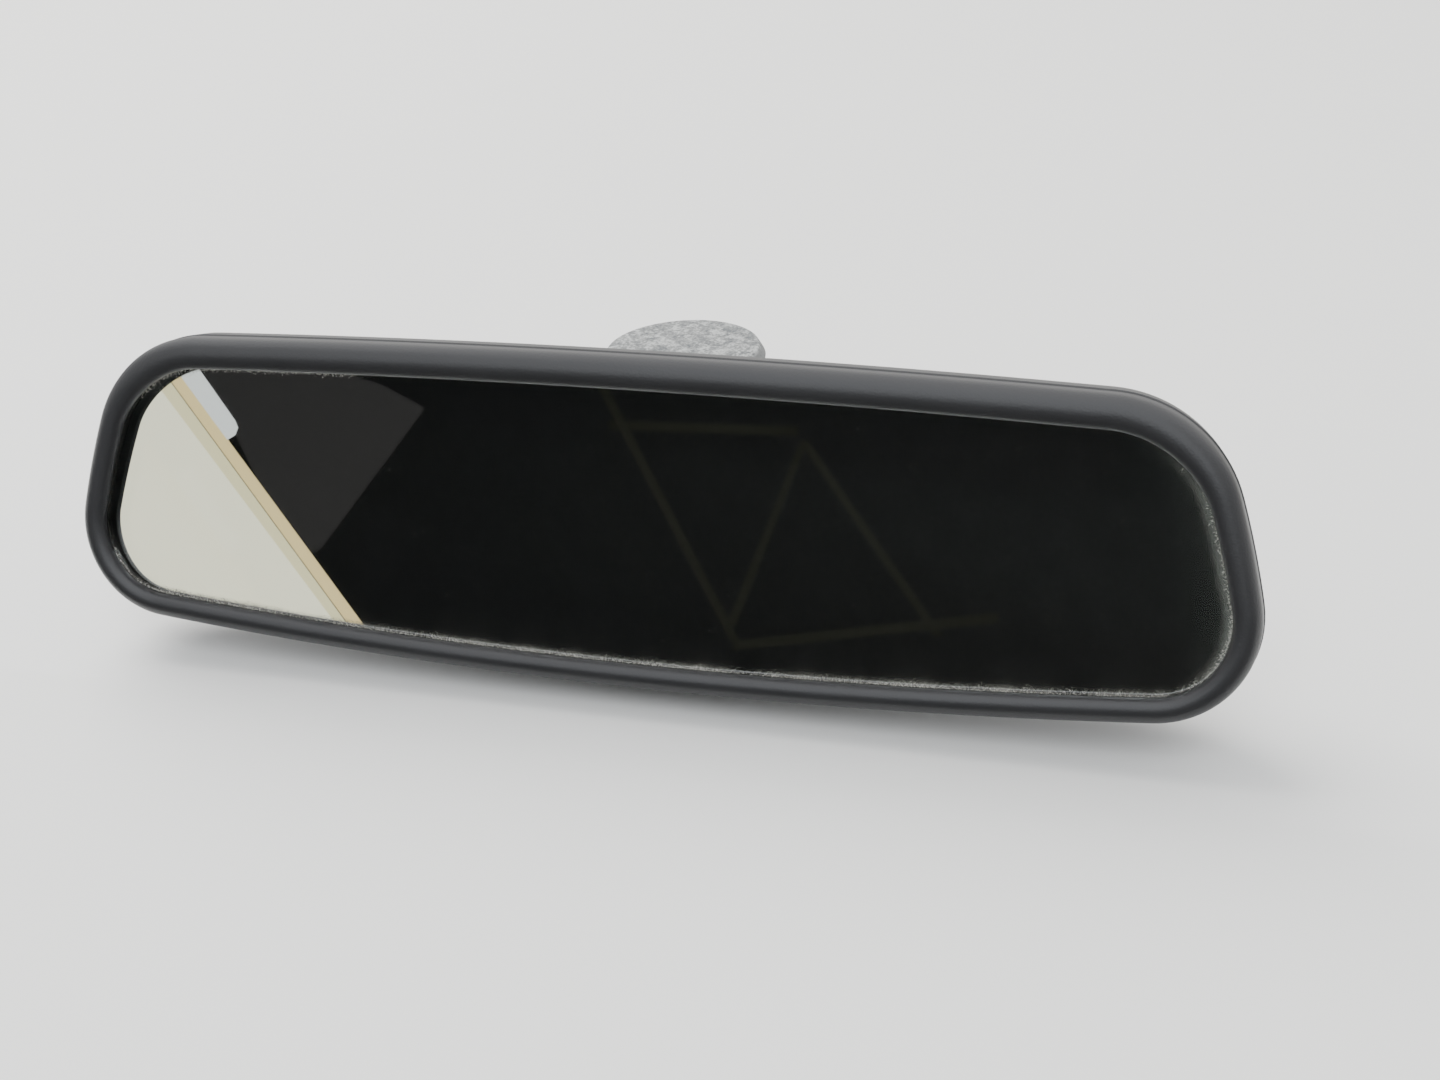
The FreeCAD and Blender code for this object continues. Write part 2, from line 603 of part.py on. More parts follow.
def lever_arm():
    """Crank on the hub with the nose that drives the bracket's fork."""
    side = "nose_half_length - crank_step"
    crank = box("LeverCrank", (f"-({side})", "-crank_thickness / 2", "0"),
                (side, "crank_thickness / 2", "crank_reach"))
    nose = rod("LeverNose", "nose_radius", "-nose_half_length", "nose_half_length",
               "0", "crank_reach")
    return put(fuse("LeverArm", crank, nose), axis=Vector(1, 0, 0), turn="lever_throw / 2")


def dip_lever():
    """The day/night lever and the pin that it turns on."""
    bore = rod("LeverBore", "lever_pin_radius + running_gap", "-3 * hub_half_length",
               "3 * hub_half_length", "0", "0")
    lever = cut("Lever", fuse("LeverWhole", lever_tab(), lever_arm()), bore)
    put(lever, y="lever_pin_depth", z="-lever_pin_drop")
    node("dip_lever", lever, HEAD)
    pin = rod("LeverPin", "lever_pin_radius", "-lever_pin_half_length", "lever_pin_half_length",
              "lever_pin_depth", "-lever_pin_drop")
    node("lever_pin", pin, HEAD)


def lever_grip():
    """Soft sleeve over the end of the tab."""
    side, half = "(tab_half_width + grip_wall)", "(tab_thickness / 2 + grip_wall)"
    far = "tab_length - tab_thickness / 2"
    outer = box("GripOuter", (f"-{side}", "tab_length - grip_length", f"-{half}"),
                (side, "tab_length", half))
    end = rod("GripEnd", half, f"-{side}", side, far, "0")
    inner = box("GripInner", ("-tab_half_width", "0", "-tab_thickness / 2"),
                ("tab_half_width", far, "tab_thickness / 2"))
    inner_end = rod("GripInnerEnd", "tab_thickness / 2", "-tab_half_width", "tab_half_width",
                    far, "0")
    trim = box("GripTrim", (f"-2 * {side}", "0", f"-2 * {half}"),
               (f"2 * {side}", "tab_length + grip_wall", f"2 * {half}"))
    sleeve = cut("Grip", common("GripWhole", fuse("GripBody", outer, end), trim),
                 fuse("GripHollow", inner, inner_end))
    put(sleeve, **lever_place("-tab_angle"))
    node("lever_grip", sleeve, HEAD)


def toggle_spring():
    """Leaf spring screwed to the shell floor; two fingers press on the hub of the lever."""
    low = "-lever_pin_drop - leaf_drop"
    back = "lever_pin_depth - hub_radius - leaf_gap"
    foot = box("LeafFoot", ("-leaf_half_width", "leaf_front", low),
               ("leaf_half_width", back, f"{low} + leaf_thickness"))
    fingers = [box(f"LeafFinger{i}", (left, f"{back} - leaf_thickness", low),
                   (right, back, "leaf_rise - lever_pin_drop"))
               for i, (left, right) in enumerate((
                   ("-leaf_half_width", "leaf_finger - leaf_half_width"),
                   ("leaf_half_width - leaf_finger", "leaf_half_width")))]
    hole = cylinder("LeafHole", "leaf_screw_radius + 2 * running_gap", "leaf_screw_length * 2",
                    y="leaf_screw_depth", z=f"{low} - leaf_screw_length")
    node("toggle_spring", cut("Leaf", fuse("LeafWhole", foot, *fingers), hole), HEAD)
    shank = cylinder("LeafScrewShank", "leaf_screw_radius", "leaf_screw_length + leaf_thickness",
                     y="leaf_screw_depth", z=f"{low} - leaf_screw_length")
    head = cone("LeafScrewHead", "leaf_head_foot", "leaf_head_top", "leaf_screw_radius",
                y="leaf_screw_depth", z=f"{low} + leaf_thickness")
    node("spring_screw", fuse("LeafScrew", shank, head), HEAD)


# ---------------------------------------------------------------- glass and bezel

def wedge_cut(offset):
    """Half space behind the sloping back of the glass, moved back by offset."""
    top, bottom = size("glass_top") + offset, size("glass_bottom") + offset
    reach, half = 2 * size("bottom_half_width"), size("top_edge_height")
    slope = (top - bottom) / (2 * half)
    corners = [Vector(-reach, (top + bottom) / 2 + slope * z, z) for z in (-reach, reach)]
    corners += [Vector(-reach, reach, reach), Vector(-reach, reach, -reach)]
    face = Part.Face(Part.makePolygon(corners + corners[:1]))
    return face.extrude(Vector(2 * reach, 0, 0))


def glass_stack():
    """Wedge of glass, thicker at its top, its reflecting layer and an adhesive sheet."""
    lap, deep = size("glass_lap"), 2 * size("glass_top")
    wedge = slab(head_outline(0.0, **rim(lap)), deep)
    silver = size("silver_thickness")
    pad = size("pad_thickness")
    node("prism_glass", solid("Glass", wedge.cut(wedge_cut(0.0))), HEAD)
    layer = wedge.cut(wedge_cut(silver)).common(wedge_cut(0.0))
    node("silver_layer", solid("Silver", layer), HEAD)
    smaller = slab(head_outline(0.0, **rim(lap - size("pad_inset"))), deep)
    sheet_pad = smaller.cut(wedge_cut(silver + pad)).common(wedge_cut(silver))
    node("adhesive_sheet", solid("Adhesive", sheet_pad), HEAD)


PLANE_TOLERANCE = 1e-6
EDGE_TOLERANCE = 1e-4
OVERRUN = 1.0       # a cutting tool runs this far past the solid that it cuts
BITE = 0.01         # two solids that are joined side by side share this much


def front_edges(ring, opening, on_opening):
    """Edges in the front plane of the rim, either those on the opening or the others."""
    front = -size("rim_front")
    chosen = []
    for edge in ring.Edges:
        bounds = edge.BoundBox
        if max(abs(bounds.YMin - front), abs(bounds.YMax - front)) > PLANE_TOLERANCE:
            continue
        middle = edge.valueAt((edge.FirstParameter + edge.LastParameter) / 2)
        near = Part.Vertex(middle).distToShape(opening)[0] < EDGE_TOLERANCE
        if near == on_opening:
            chosen.append(edge)
    return chosen


def front_bezel():
    """Rounded rim round the glass, with a skirt behind it and a tongue inside the shell."""
    front = -size("rim_front")
    parting, tongue_end = size("parting_depth"), size("tongue_depth")
    wall, inset, deep = size("skirt_wall"), size("tongue_inset"), 2 * size("tongue_depth")
    ring = slab(head_outline(front), parting - front)
    opening = slab(head_outline(front - OVERRUN, **rim()), parting - front + 2 * OVERRUN)
    ring = ring.cut(opening)
    ring = ring.makeFillet(size("rim_outer_round"), front_edges(ring, opening, False))
    ring = ring.makeFillet(size("rim_inner_round"), front_edges(ring, opening, True))
    pocket = slab(head_outline(0.0, **even(wall)), parting + OVERRUN)
    tongue = slab(head_outline(parting - OVERRUN, **even(inset)), tongue_end - parting + OVERRUN)
    hollow = slab(head_outline(0.0, **even(inset + size("tongue_wall"))), deep)
    bridge = slab(head_outline(parting - OVERRUN, **even(wall - BITE)), OVERRUN).cut(hollow)
    bezel = ring.cut(pocket).fuse([bridge, tongue.cut(hollow)]).removeSplitter()
    glass_room = slab(head_outline(0.0, **rim(size("glass_lap") + size("glass_gap"))), deep)
    node("front_bezel", solid("Bezel", bezel.cut(glass_room)), HEAD)


# ---------------------------------------------------------------- rear shell

DOME_STEPS = 8
OUTER_CROWN = 83.0
INNER_CROWN = 74.0

# Exponents (power, root) of the falling curves of the dome's top, bottom and ends
TOP_CURVE = (1.3, 1.15)
BOTTOM_CURVE = (2.6, 1.3)
END_CURVE = (3.0, 1.6)


def dome_depth(share, inset):
    """Depth of the section at a share of the dome, behind the shell's straight band."""
    start = size("parting_depth") + size("shell_band")
    return start + (size("shell_depth") - inset - start) * share


def dome_section(share, inset):
    """Outline of the shell at a share of its depth, moved in by inset all round."""
    def curve(power, root):
        return (1 - share ** power) ** (1 / root)
    drop = size("dome_drop")
    middle_top = size("top_edge_height") + size("top_bulge")
    middle_bottom = size("bottom_edge_drop") + size("bottom_bulge")
    top = (middle_top + drop) * curve(*TOP_CURVE) - drop
    bottom = (drop - middle_bottom) * curve(*BOTTOM_CURVE) - drop
    wide = curve(*END_CURVE)
    height = top - bottom
    squash = height / (middle_top + middle_bottom)
    bulges = [size(name) * squash for name in
              ("top_bulge", "side_bulge", "bottom_bulge", "side_bulge")]
    z_top, z_bottom = top - bulges[0], bottom + bulges[2]
    half_top, half_bottom = [(size(name) - size("end_taper")) * wide
                             for name in ("top_half_width", "bottom_half_width")]
    radii = [size("top_corner_radius") * squash] * 2 + [size("bottom_corner_radius") * squash] * 2
    corners = [Vector(-half_top, 0, z_top), Vector(half_top, 0, z_top),
               Vector(half_bottom, 0, z_bottom), Vector(-half_bottom, 0, z_bottom)]
    return outline(corners, bulges, radii, [inset] * 4, dome_depth(share, inset))


def dome(inset, crown):
    """Closed band and dome behind the parting line, in by inset, up to a crown angle."""
    wires = []
    for step in range(DOME_STEPS + 1):
        share = math.sin(math.radians(crown) * step / DOME_STEPS)
        wires.append(dome_section(share, inset))
    parting = head_outline(size("parting_depth"), **even(inset))
    band = Part.makeLoft([parting, wires[0]], True, True)
    return band.fuse(Part.makeLoft(wires, True, False)).removeSplitter()


def block(low, high):
    return Part.makeBox(*[b - a for a, b in zip(low, high)], Vector(*low))


def shell_bosses(outer):
    """Bosses for the hinge rod and the lever pin, the spring's pad and ribs for the bumpers."""
    rod_y, rod_z, rod_half = size("hinge_depth"), size("hinge_height"), size("rod_boss_half")
    pin_y, pin_z, pin_half = size("lever_pin_depth"), -size("lever_pin_drop"), size("pin_boss_half")
    rib_x, rib_z = size("bumper_offset"), -size("bumper_drop")
    rib_front, rib_half = size("bumper_front") + size("bumper_length"), size("bumper_rib_half")
    above, below = 2 * size("top_edge_height"), -2 * size("bottom_edge_drop")
    beyond = 2 * size("shell_depth")
    spans = [("rod_boss_start", "rod_boss_end", rod_y - rod_half, rod_y + rod_half,
              rod_z - rod_half, above),
             ("pin_boss_start", "pin_boss_end", pin_y - pin_half, pin_y + pin_half,
              below, pin_z + pin_half)]
    bosses = [block((-size("leaf_pad_half"), size("leaf_pad_front"), below),
                    (size("leaf_pad_half"), pin_y - size("hub_radius") - 2 * size("leaf_gap"),
                     pin_z - size("leaf_drop")))]
    for sign in (-1, 1):
        for start, end, front, back, low, high in spans:
            left, right = sorted((sign * size(start), sign * size(end)))
            bosses.append(block((left, front, low), (right, back, high)))
        bosses.append(block((sign * rib_x - rib_half, rib_front, rib_z - rib_half),
                            (sign * rib_x + rib_half, beyond, rib_z + rib_half)))
    along, reach = Vector(1, 0, 0), size("rod_half_length")
    thread = size("leaf_screw_length")
    holes = [Part.makeCylinder(size("rod_radius"), 2 * reach, Vector(-reach, rod_y, rod_z), along),
             Part.makeCylinder(size("lever_pin_radius"), 2 * reach, Vector(-reach, pin_y, pin_z),
                               along),
             Part.makeCylinder(size("leaf_screw_radius"), thread,
                               Vector(0, size("leaf_screw_depth"),
                                      pin_z - size("leaf_drop") - thread))]
    merged = bosses[0].multiFuse(bosses[1:]).common(outer)
    for hole in holes:
        merged = merged.cut(hole)
    return merged


def rear_shell():
    """Domed back with the opening for the ball joint above and the lever slot below."""
    outer = dome(0.0, OUTER_CROWN)
    shell = outer.cut(dome(size("shell_wall"), INNER_CROWN))
    shell = shell.fuse(shell_bosses(outer))
    axis = SOCKET.Rotation.multVec(Vector(0, 0, 1))
    reach = 2 * size("shell_depth")
    opening = Part.makeCylinder(size("opening_radius"), reach,
                                SOCKET.Base - axis * size("opening_start"), axis)
    half = size("slot_width") / 2
    slot = block((-half, size("slot_front"), -reach),
                 (half, size("slot_back"), size("slot_rise") - size("lever_pin_drop")))
    shell = shell.cut(opening).cut(slot)
    node("rear_shell", solid("Shell", shell), HEAD)


def pads_and_foam():
    """Felt pads on the bracket, rubber bumpers on the ribs and foam blocks at both ends."""
    felt, bumper, foam = [], [], []
    back_to_front = {"axis": Vector(1, 0, 0), "turn": "90"}
    for index, side in enumerate((-1, 1)):
        felt.append(cylinder(f"Felt{index}", "felt_radius", "felt_thickness",
                             x=f"{side} * felt_offset", y="bracket_front", z="-felt_drop",
                             **back_to_front))
        bumper.append(cylinder(f"Bumper{index}", "bumper_radius", "bumper_length",
                               x=f"{side} * bumper_offset", y="bumper_front + bumper_length",
                               z="-bumper_drop", **back_to_front))
        low, high = ("foam_start", "foam_end") if side > 0 else ("-foam_end", "-foam_start")
        foam.append(box(f"Foam{index}", (low, "foam_front", "-foam_half_height"),
                        (high, "foam_back", "foam_half_height")))
    node("felt_pads", compound("Felts", *felt), HEAD)
    node("rubber_bumpers", compound("Bumpers", *bumper), HEAD)
    node("foam_blocks", compound("Foams", *foam), HEAD)


# ---------------------------------------------------------------- build, check and write

def broken(thing):
    return any(word in thing.State for word in ("Invalid", "Error"))


def main():
    mount_foot()
    ball_stud()
    liner_and_seat()
    clamp_ring()
    clamp_screws()
    toggle_bracket()
    hinge()
    dip_lever()
    lever_grip()
    toggle_spring()
    glass_stack()
    front_bezel()
    rear_shell()
    pads_and_foam()
    doc.recompute()
    faults = [thing.Name for thing in doc.Objects if broken(thing)]
    faults += [thing.Label for thing in NODES if thing.Shape.isNull() or not thing.Shape.isValid()]
    if faults:
        raise SystemExit("failed: " + ", ".join(faults))
    os.makedirs("parts", exist_ok=True)
    for thing in NODES:
        thing.Shape.exportStep(f"parts/{thing.Label}.step")
        bounds = thing.Shape.BoundBox
        print(f"{thing.Label:18s} {thing.Shape.Volume:10.1f} mm3  solids {len(thing.Shape.Solids)}"
              f"  {bounds.XLength:6.1f} x {bounds.YLength:6.1f} x {bounds.ZLength:6.1f}")


main()
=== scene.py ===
"""The looks of an interior rearview mirror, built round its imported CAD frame.

Lengths are in metres.  The head frame has its origin on the front of the glass, half way up
the head, X to the right, Y into the mirror and Z up; the row frame is the CAD's own.
"""
import itertools
import json
import math
import random

import bmesh
import bpy
from mathutils import Matrix, Vector, noise


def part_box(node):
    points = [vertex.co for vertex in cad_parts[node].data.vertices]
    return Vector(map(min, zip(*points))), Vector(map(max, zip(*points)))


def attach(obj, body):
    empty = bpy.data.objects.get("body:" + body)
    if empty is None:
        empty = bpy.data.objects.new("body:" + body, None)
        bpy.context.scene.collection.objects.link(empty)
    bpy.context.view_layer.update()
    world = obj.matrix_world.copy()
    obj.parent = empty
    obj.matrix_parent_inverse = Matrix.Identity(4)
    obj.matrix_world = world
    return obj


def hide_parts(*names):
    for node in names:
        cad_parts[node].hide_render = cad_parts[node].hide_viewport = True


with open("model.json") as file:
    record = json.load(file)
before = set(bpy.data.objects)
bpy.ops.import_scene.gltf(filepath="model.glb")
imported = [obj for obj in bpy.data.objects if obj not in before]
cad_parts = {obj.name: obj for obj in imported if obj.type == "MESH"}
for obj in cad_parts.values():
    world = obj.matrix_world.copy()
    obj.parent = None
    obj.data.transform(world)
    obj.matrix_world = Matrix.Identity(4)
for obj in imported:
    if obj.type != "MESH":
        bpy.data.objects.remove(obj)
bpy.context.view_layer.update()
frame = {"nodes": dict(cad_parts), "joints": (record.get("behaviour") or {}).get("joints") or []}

MM = 0.001
random.seed(7)

# ---------------------------------------------------------------- driving sizes, as in the CAD

TOP_HALF, BOTTOM_HALF = 112.7 * MM, 127.5 * MM
TOP_Z, BOTTOM_Z = 31.4 * MM, -27.7 * MM
TOP_BULGE, SIDE_BULGE, BOTTOM_BULGE = 2.2 * MM, 2.6 * MM, 6.4 * MM
TOP_ROUND, BOTTOM_ROUND = 26.3 * MM, 20.3 * MM
RIM_TOP, RIM_SIDE, RIM_BOTTOM = 6.9 * MM, 5.5 * MM, 5.2 * MM
RIM_FRONT = 2.8 * MM
RIM_OUTER_ROUND, RIM_INNER_ROUND = 3.2 * MM, 1.9 * MM
RIM_STEP = 0.22 * MM      # bezel inside the outline of the shell
SKIRT, TONGUE_OUT, TONGUE_IN, TONGUE_END = 2.0 * MM, 2.3 * MM, 3.4 * MM, 4.8 * MM
PARTING = 3.2 * MM
GLASS_LAP = 1.6 * MM      # glass under the rim
GLASS_TOP, GLASS_BOTTOM = 4.9 * MM, 1.9 * MM
SILVER_THICK = 0.25 * MM
SHELL_DEPTH, SHELL_WALL, DOME_DROP = 31.6 * MM, 1.8 * MM, 6.0 * MM
SHELL_BAND, END_TAPER = 4.5 * MM, 0.8 * MM
OPENING_RADIUS = 14.6 * MM
OPENING_START = 3.5 * MM
SLOT_HALF, SLOT_FRONT, SLOT_BACK = 13.5 * MM, 13.0 * MM, 24.5 * MM
BALL_DEPTH = 20.5 * MM
SOCKET_ANGLE = math.radians(42.0)      # stud from the foot's normal, and from straight back

joints = {joint["name"]: joint for joint in frame["joints"]}
ball_centre = Vector(joints["ball_tilt"]["pos_m"])
head_y = Vector(joints["ball_roll"]["axis"]).normalized()
head_z = Vector(joints["ball_pan"]["axis"]).normalized()
head_x = head_y.cross(head_z).normalized()
HEAD = Matrix((head_x, head_y, head_z)).transposed().to_4x4()
HEAD.translation = ball_centre - head_y * BALL_DEPTH


# ---------------------------------------------------------------- small mesh tools

def link_object(name, data):
    thing = bpy.data.objects.new(name, data)
    bpy.context.collection.objects.link(thing)
    return thing


def new_object(name, verts, faces, smooth=True):
    """Mesh object from points and faces, its normals turned outwards."""
    mesh = bpy.data.meshes.new(name)
    mesh.from_pydata([tuple(v) for v in verts], [], faces)
    mesh.validate()
    thing = link_object(name, mesh)
    fix_normals(thing)
    if smooth:
        smooth_by_angle(thing)
    return thing


def fix_normals(thing):
    """Turn every face outwards."""
    bm = bmesh.new()
    bm.from_mesh(thing.data)
    bmesh.ops.recalc_face_normals(bm, faces=bm.faces)
    bm.to_mesh(thing.data)
    bm.free()


def smooth_by_angle(thing, degrees=35.0):
    """Smooth faces, with edges sharper than the angle kept sharp."""
    mesh = thing.data
    mesh.polygons.foreach_set("use_smooth", [True] * len(mesh.polygons))
    bm = bmesh.new()
    bm.from_mesh(mesh)
    limit = math.radians(degrees)
    for edge in bm.edges:
        edge.smooth = not (edge.is_manifold and edge.calc_face_angle(0.0) > limit)
    bm.to_mesh(mesh)
    bm.free()


def remove_doubles(thing):
    """Merge the points that a closed lathe profile leaves twice."""
    bm = bmesh.new()
    bm.from_mesh(thing.data)
    bmesh.ops.remove_doubles(bm, verts=bm.verts, dist=1e-6)
    bmesh.ops.recalc_face_normals(bm, faces=bm.faces)
    bm.to_mesh(thing.data)
    bm.free()
    smooth_by_angle(thing)


def bake_modifiers(thing):
    """Replace an object's mesh by the result of its modifiers."""
    graph = bpy.context.evaluated_depsgraph_get()
    mesh = bpy.data.meshes.new_from_object(thing.evaluated_get(graph))
    thing.modifiers.clear()
    thing.data = mesh


def boolean(thing, tool, operation):
    """Cut a tool from an object or join it to the object, and delete the tool."""
    step = thing.modifiers.new("step", "BOOLEAN")
    step.operation = operation
    step.solver = "EXACT"
    step.object = tool
    bake_modifiers(thing)
    bpy.data.objects.remove(tool)


def move(thing, matrix):
    """Move the points of a mesh, and leave its object at the origin."""
    thing.data.transform(matrix)
    return thing


def lathe(name, profile, count=96):
    """Solid of revolution about Z from (radius, height) points; ends on the axis are closed."""
    verts, rings = [], []
    for radius, height in profile:
        if radius < 1e-7:
            rings.append([len(verts)])
            verts.append((0.0, 0.0, height))
            continue
        rings.append([len(verts) + i for i in range(count)])
        verts += [(radius * math.cos(2 * math.pi * i / count),
                   radius * math.sin(2 * math.pi * i / count), height) for i in range(count)]
    faces = []
    for low, high in zip(rings, rings[1:]):
        for i in range(count):
            j = (i + 1) % count
            quad = [low[i % len(low)], low[j % len(low)], high[j % len(high)], high[i % len(high)]]
            face = list(dict.fromkeys(quad))
            if len(face) > 2:
                faces.append(face)
    return new_object(name, verts, faces)


def lathe_mm(name, profile, count):
    return lathe(name, [(r * MM, z * MM) for r, z in profile], count)


def cylinder(name, radius, low, high, count):
    return lathe(name, [(0, low), (radius, low), (radius, high), (0, high)], count)


ALONG_X = Matrix.Rotation(math.pi / 2, 4, "Y")       # turns a lathe's axis to X


# ---------------------------------------------------------------- outline of the head

def side_arc(start, end, bulge):
    """Centre and radius of the arc from start to end, clockwise, that bulges outwards."""
    chord = end - start
    radius = (chord.length ** 2 / 4 + bulge ** 2) / (2 * bulge)
    outward = Vector((-chord.y, chord.x)).normalized()
    return (start + end) / 2 + outward * (bulge - radius), radius


def corner_centre(first, second, radius, near):
    """Centre of the corner arc that touches two side arcs from inside."""
    (c1, r1), (c2, r2) = first, second
    r1, r2 = r1 - radius, r2 - radius
    between = c2 - c1
    along = (r1 ** 2 - r2 ** 2 + between.length ** 2) / (2 * between.length)
    across = math.sqrt(max(r1 ** 2 - along ** 2, 0.0))
    unit = between.normalized()
    side = Vector((-unit.y, unit.x))
    choices = [c1 + unit * along + side * across * sign for sign in (1, -1)]
    return min(choices, key=lambda point: (point - near).length)


def sample_arc(centre, radius, start, end, count):
    """Points with outward normals along an arc, without its last point."""
    a = math.atan2(*(start - centre).yx)
    b = math.atan2(*(end - centre).yx)
    turn = (b - a + math.pi) % (2 * math.pi) - math.pi
    out = []
    for i in range(count):
        angle = a + turn * i / count
        normal = Vector((math.cos(angle), math.sin(angle)))
        out.append((centre + normal * radius, normal))
    return out


def outline(corners, bulges, radii, counts):
    """Samples of (point, normal) round four bulging sides and their tangent corner arcs."""
    sides = [side_arc(corner, corners[(i + 1) % 4], bulges[i])
             for i, corner in enumerate(corners)]
    arcs = []
    for i, corner in enumerate(corners):
        centre = corner_centre(sides[i - 1], sides[i], radii[i], corner)
        ends = [c + (centre - c).normalized() * r for c, r in (sides[i - 1], sides[i])]
        arcs.append((centre, radii[i], *ends))
    out = []
    for i, (centre, radius, start, end) in enumerate(arcs):
        out += sample_arc(centre, radius, start, end, counts[0])
        out += sample_arc(*sides[i], end, arcs[(i + 1) % 4][2], counts[1 + i % 2])
    return out


def section(share, counts, taper=0.0):
    """Outline at a share of the dome's depth, its ends moved in by a taper."""
    def curve(power, root):
        return (1 - share ** power) ** (1 / root)

    top = (TOP_Z + TOP_BULGE + DOME_DROP) * curve(1.3, 1.15) - DOME_DROP
    bottom = (DOME_DROP + BOTTOM_Z - BOTTOM_BULGE) * curve(2.6, 1.3) - DOME_DROP
    wide = curve(3.0, 1.6)
    squash = (top - bottom) / (TOP_Z + TOP_BULGE - BOTTOM_Z + BOTTOM_BULGE)
    bulges = [b * squash for b in (TOP_BULGE, SIDE_BULGE, BOTTOM_BULGE, SIDE_BULGE)]
    z_top, z_bottom = top - bulges[0], bottom + bulges[2]
    half_top, half_bottom = (TOP_HALF - taper) * wide, (BOTTOM_HALF - taper) * wide
    corners = [Vector((-half_top, z_top)), Vector((half_top, z_top)),
               Vector((half_bottom, z_bottom)), Vector((-half_bottom, z_bottom))]
    radii = [r * squash for r in (TOP_ROUND, TOP_ROUND, BOTTOM_ROUND, BOTTOM_ROUND)]
    return outline(corners, bulges, radii, counts)


def rim_width(normal):
    """Width of the rim where the outline has this normal: it eases from the sides' width to
    that of the top or the bottom."""
    share = min(max((abs(normal.y) - 0.1) / 0.88, 0.0), 1.0)
    share = share * share * (3 - 2 * share)
    return RIM_SIDE + ((RIM_TOP if normal.y > 0 else RIM_BOTTOM) - RIM_SIDE) * share


OUTLINE = section(0.0, (26, 110, 30))


def sweep(name, stations, profile):
    """Skin a closed profile round the outline.  profile(width) gives (inset, depth) points."""
    verts, rows = [], []
    for point, normal in stations:
        row = []
        for inset, depth in profile(rim_width(normal)):
            at = point - normal * inset
            row.append(len(verts))
            verts.append(HEAD @ Vector((at.x, depth, at.y)))
        rows.append(row)
    faces = []
    count = len(rows[0])
    for here, there in zip(rows, rows[1:] + rows[:1]):
        for k in range(count):
            m = (k + 1) % count
            faces.append((here[k], here[m], there[m], there[k]))
    return new_object(name, verts, faces)


# ---------------------------------------------------------------- material tools

class Nodes:
    """Short hand for building a node material."""

    def __init__(self, name):
        self.material = bpy.data.materials.new(name)
        self.material.use_nodes = True
        self.tree = self.material.node_tree
        self.tree.nodes.clear()
        self.output = self.add("ShaderNodeOutputMaterial")

    def add(self, kind, values=None, **settings):
        node = self.tree.nodes.new(kind)
        for key, value in settings.items():
            setattr(node, key, value)
        for key, value in (values or {}).items():
            if isinstance(value, bpy.types.NodeSocket):
                self.tree.links.new(value, node.inputs[key])
            else:
                node.inputs[key].default_value = value
        return node

    def coords(self):
        return self.add("ShaderNodeTexCoord").outputs["Object"]

    def noise(self, scale, detail=4.0, rough=0.55, vector=None, distortion=0.0):
        node = self.add("ShaderNodeTexNoise", {
            "Vector": vector or self.coords(), "Scale": scale, "Detail": detail,
            "Roughness": rough, "Distortion": distortion})
        return node.outputs["Fac"]

    def voronoi(self, scale):
        node = self.add("ShaderNodeTexVoronoi", {"Vector": self.coords(), "Scale": scale})
        return node.outputs["Distance"]

    def ramp(self, fac, stops):
        """Colour ramp from (position, colour or grey) stops."""
        node = self.add("ShaderNodeValToRGB", {"Fac": fac})
        elements = node.color_ramp.elements
        while len(elements) < len(stops):
            elements.new(0.5)
        for element, (position, colour) in zip(elements, stops):
            element.position = position
            grey = (colour,) * 3 if isinstance(colour, (int, float)) else colour
            element.color = (*grey, 1.0)
        return node.outputs["Color"]

    def math(self, operation, a, b=0.0, clamp=False):
        node = self.add("ShaderNodeMath", {0: a, 1: b}, operation=operation, use_clamp=clamp)
        return node.outputs[0]

    def mix(self, fac, a, b):
        return self.add("ShaderNodeMix", {0: fac, 6: a, 7: b}, data_type="RGBA").outputs[2]

    def bump(self, height, strength, distance):
        values = {"Height": height, "Strength": strength, "Distance": distance}
        return self.add("ShaderNodeBump", values).outputs["Normal"]

    def principled(self, **values):
        names = {key.replace("_", " "): value for key, value in values.items()}
        node = self.add("ShaderNodeBsdfPrincipled", names)
        self.tree.links.new(node.outputs["BSDF"], self.output.inputs["Surface"])
        return node


# ---------------------------------------------------------------- materials

def moulded_plastic(name, dark, light, grain, rough, grain_depth=0.00006):
    """Satin black plastic: fine moulded grain, cloudy handling marks and a few scuffs."""
    n = Nodes(name)
    cloud = n.noise(38.0, 3.0, 0.5)
    fine = n.noise(grain, 2.0, 0.6)
    cells = n.voronoi(grain * 0.8)
    scuffs = n.ramp(n.noise(210.0, 6.0, 0.75, distortion=1.5), [(0.66, 0.0), (0.73, 1.0)])
    colour = n.mix(cloud, (*dark, 1), (*light, 1))
    colour = n.mix(n.math("MULTIPLY", scuffs, 0.10), colour, (0.22, 0.22, 0.23, 1))
    height = n.math("ADD", n.math("MULTIPLY", fine, 0.6), n.math("MULTIPLY", cells, 0.8))
    roughness = n.math("ADD", n.math("MULTIPLY", cloud, 0.10), rough - 0.05)
    roughness = n.math("ADD", roughness, n.math("MULTIPLY", scuffs, 0.12))
    n.principled(Base_Color=colour, Roughness=roughness, Specular_IOR_Level=0.5,
                 Normal=n.bump(height, 0.5, grain_depth))
    return n.material


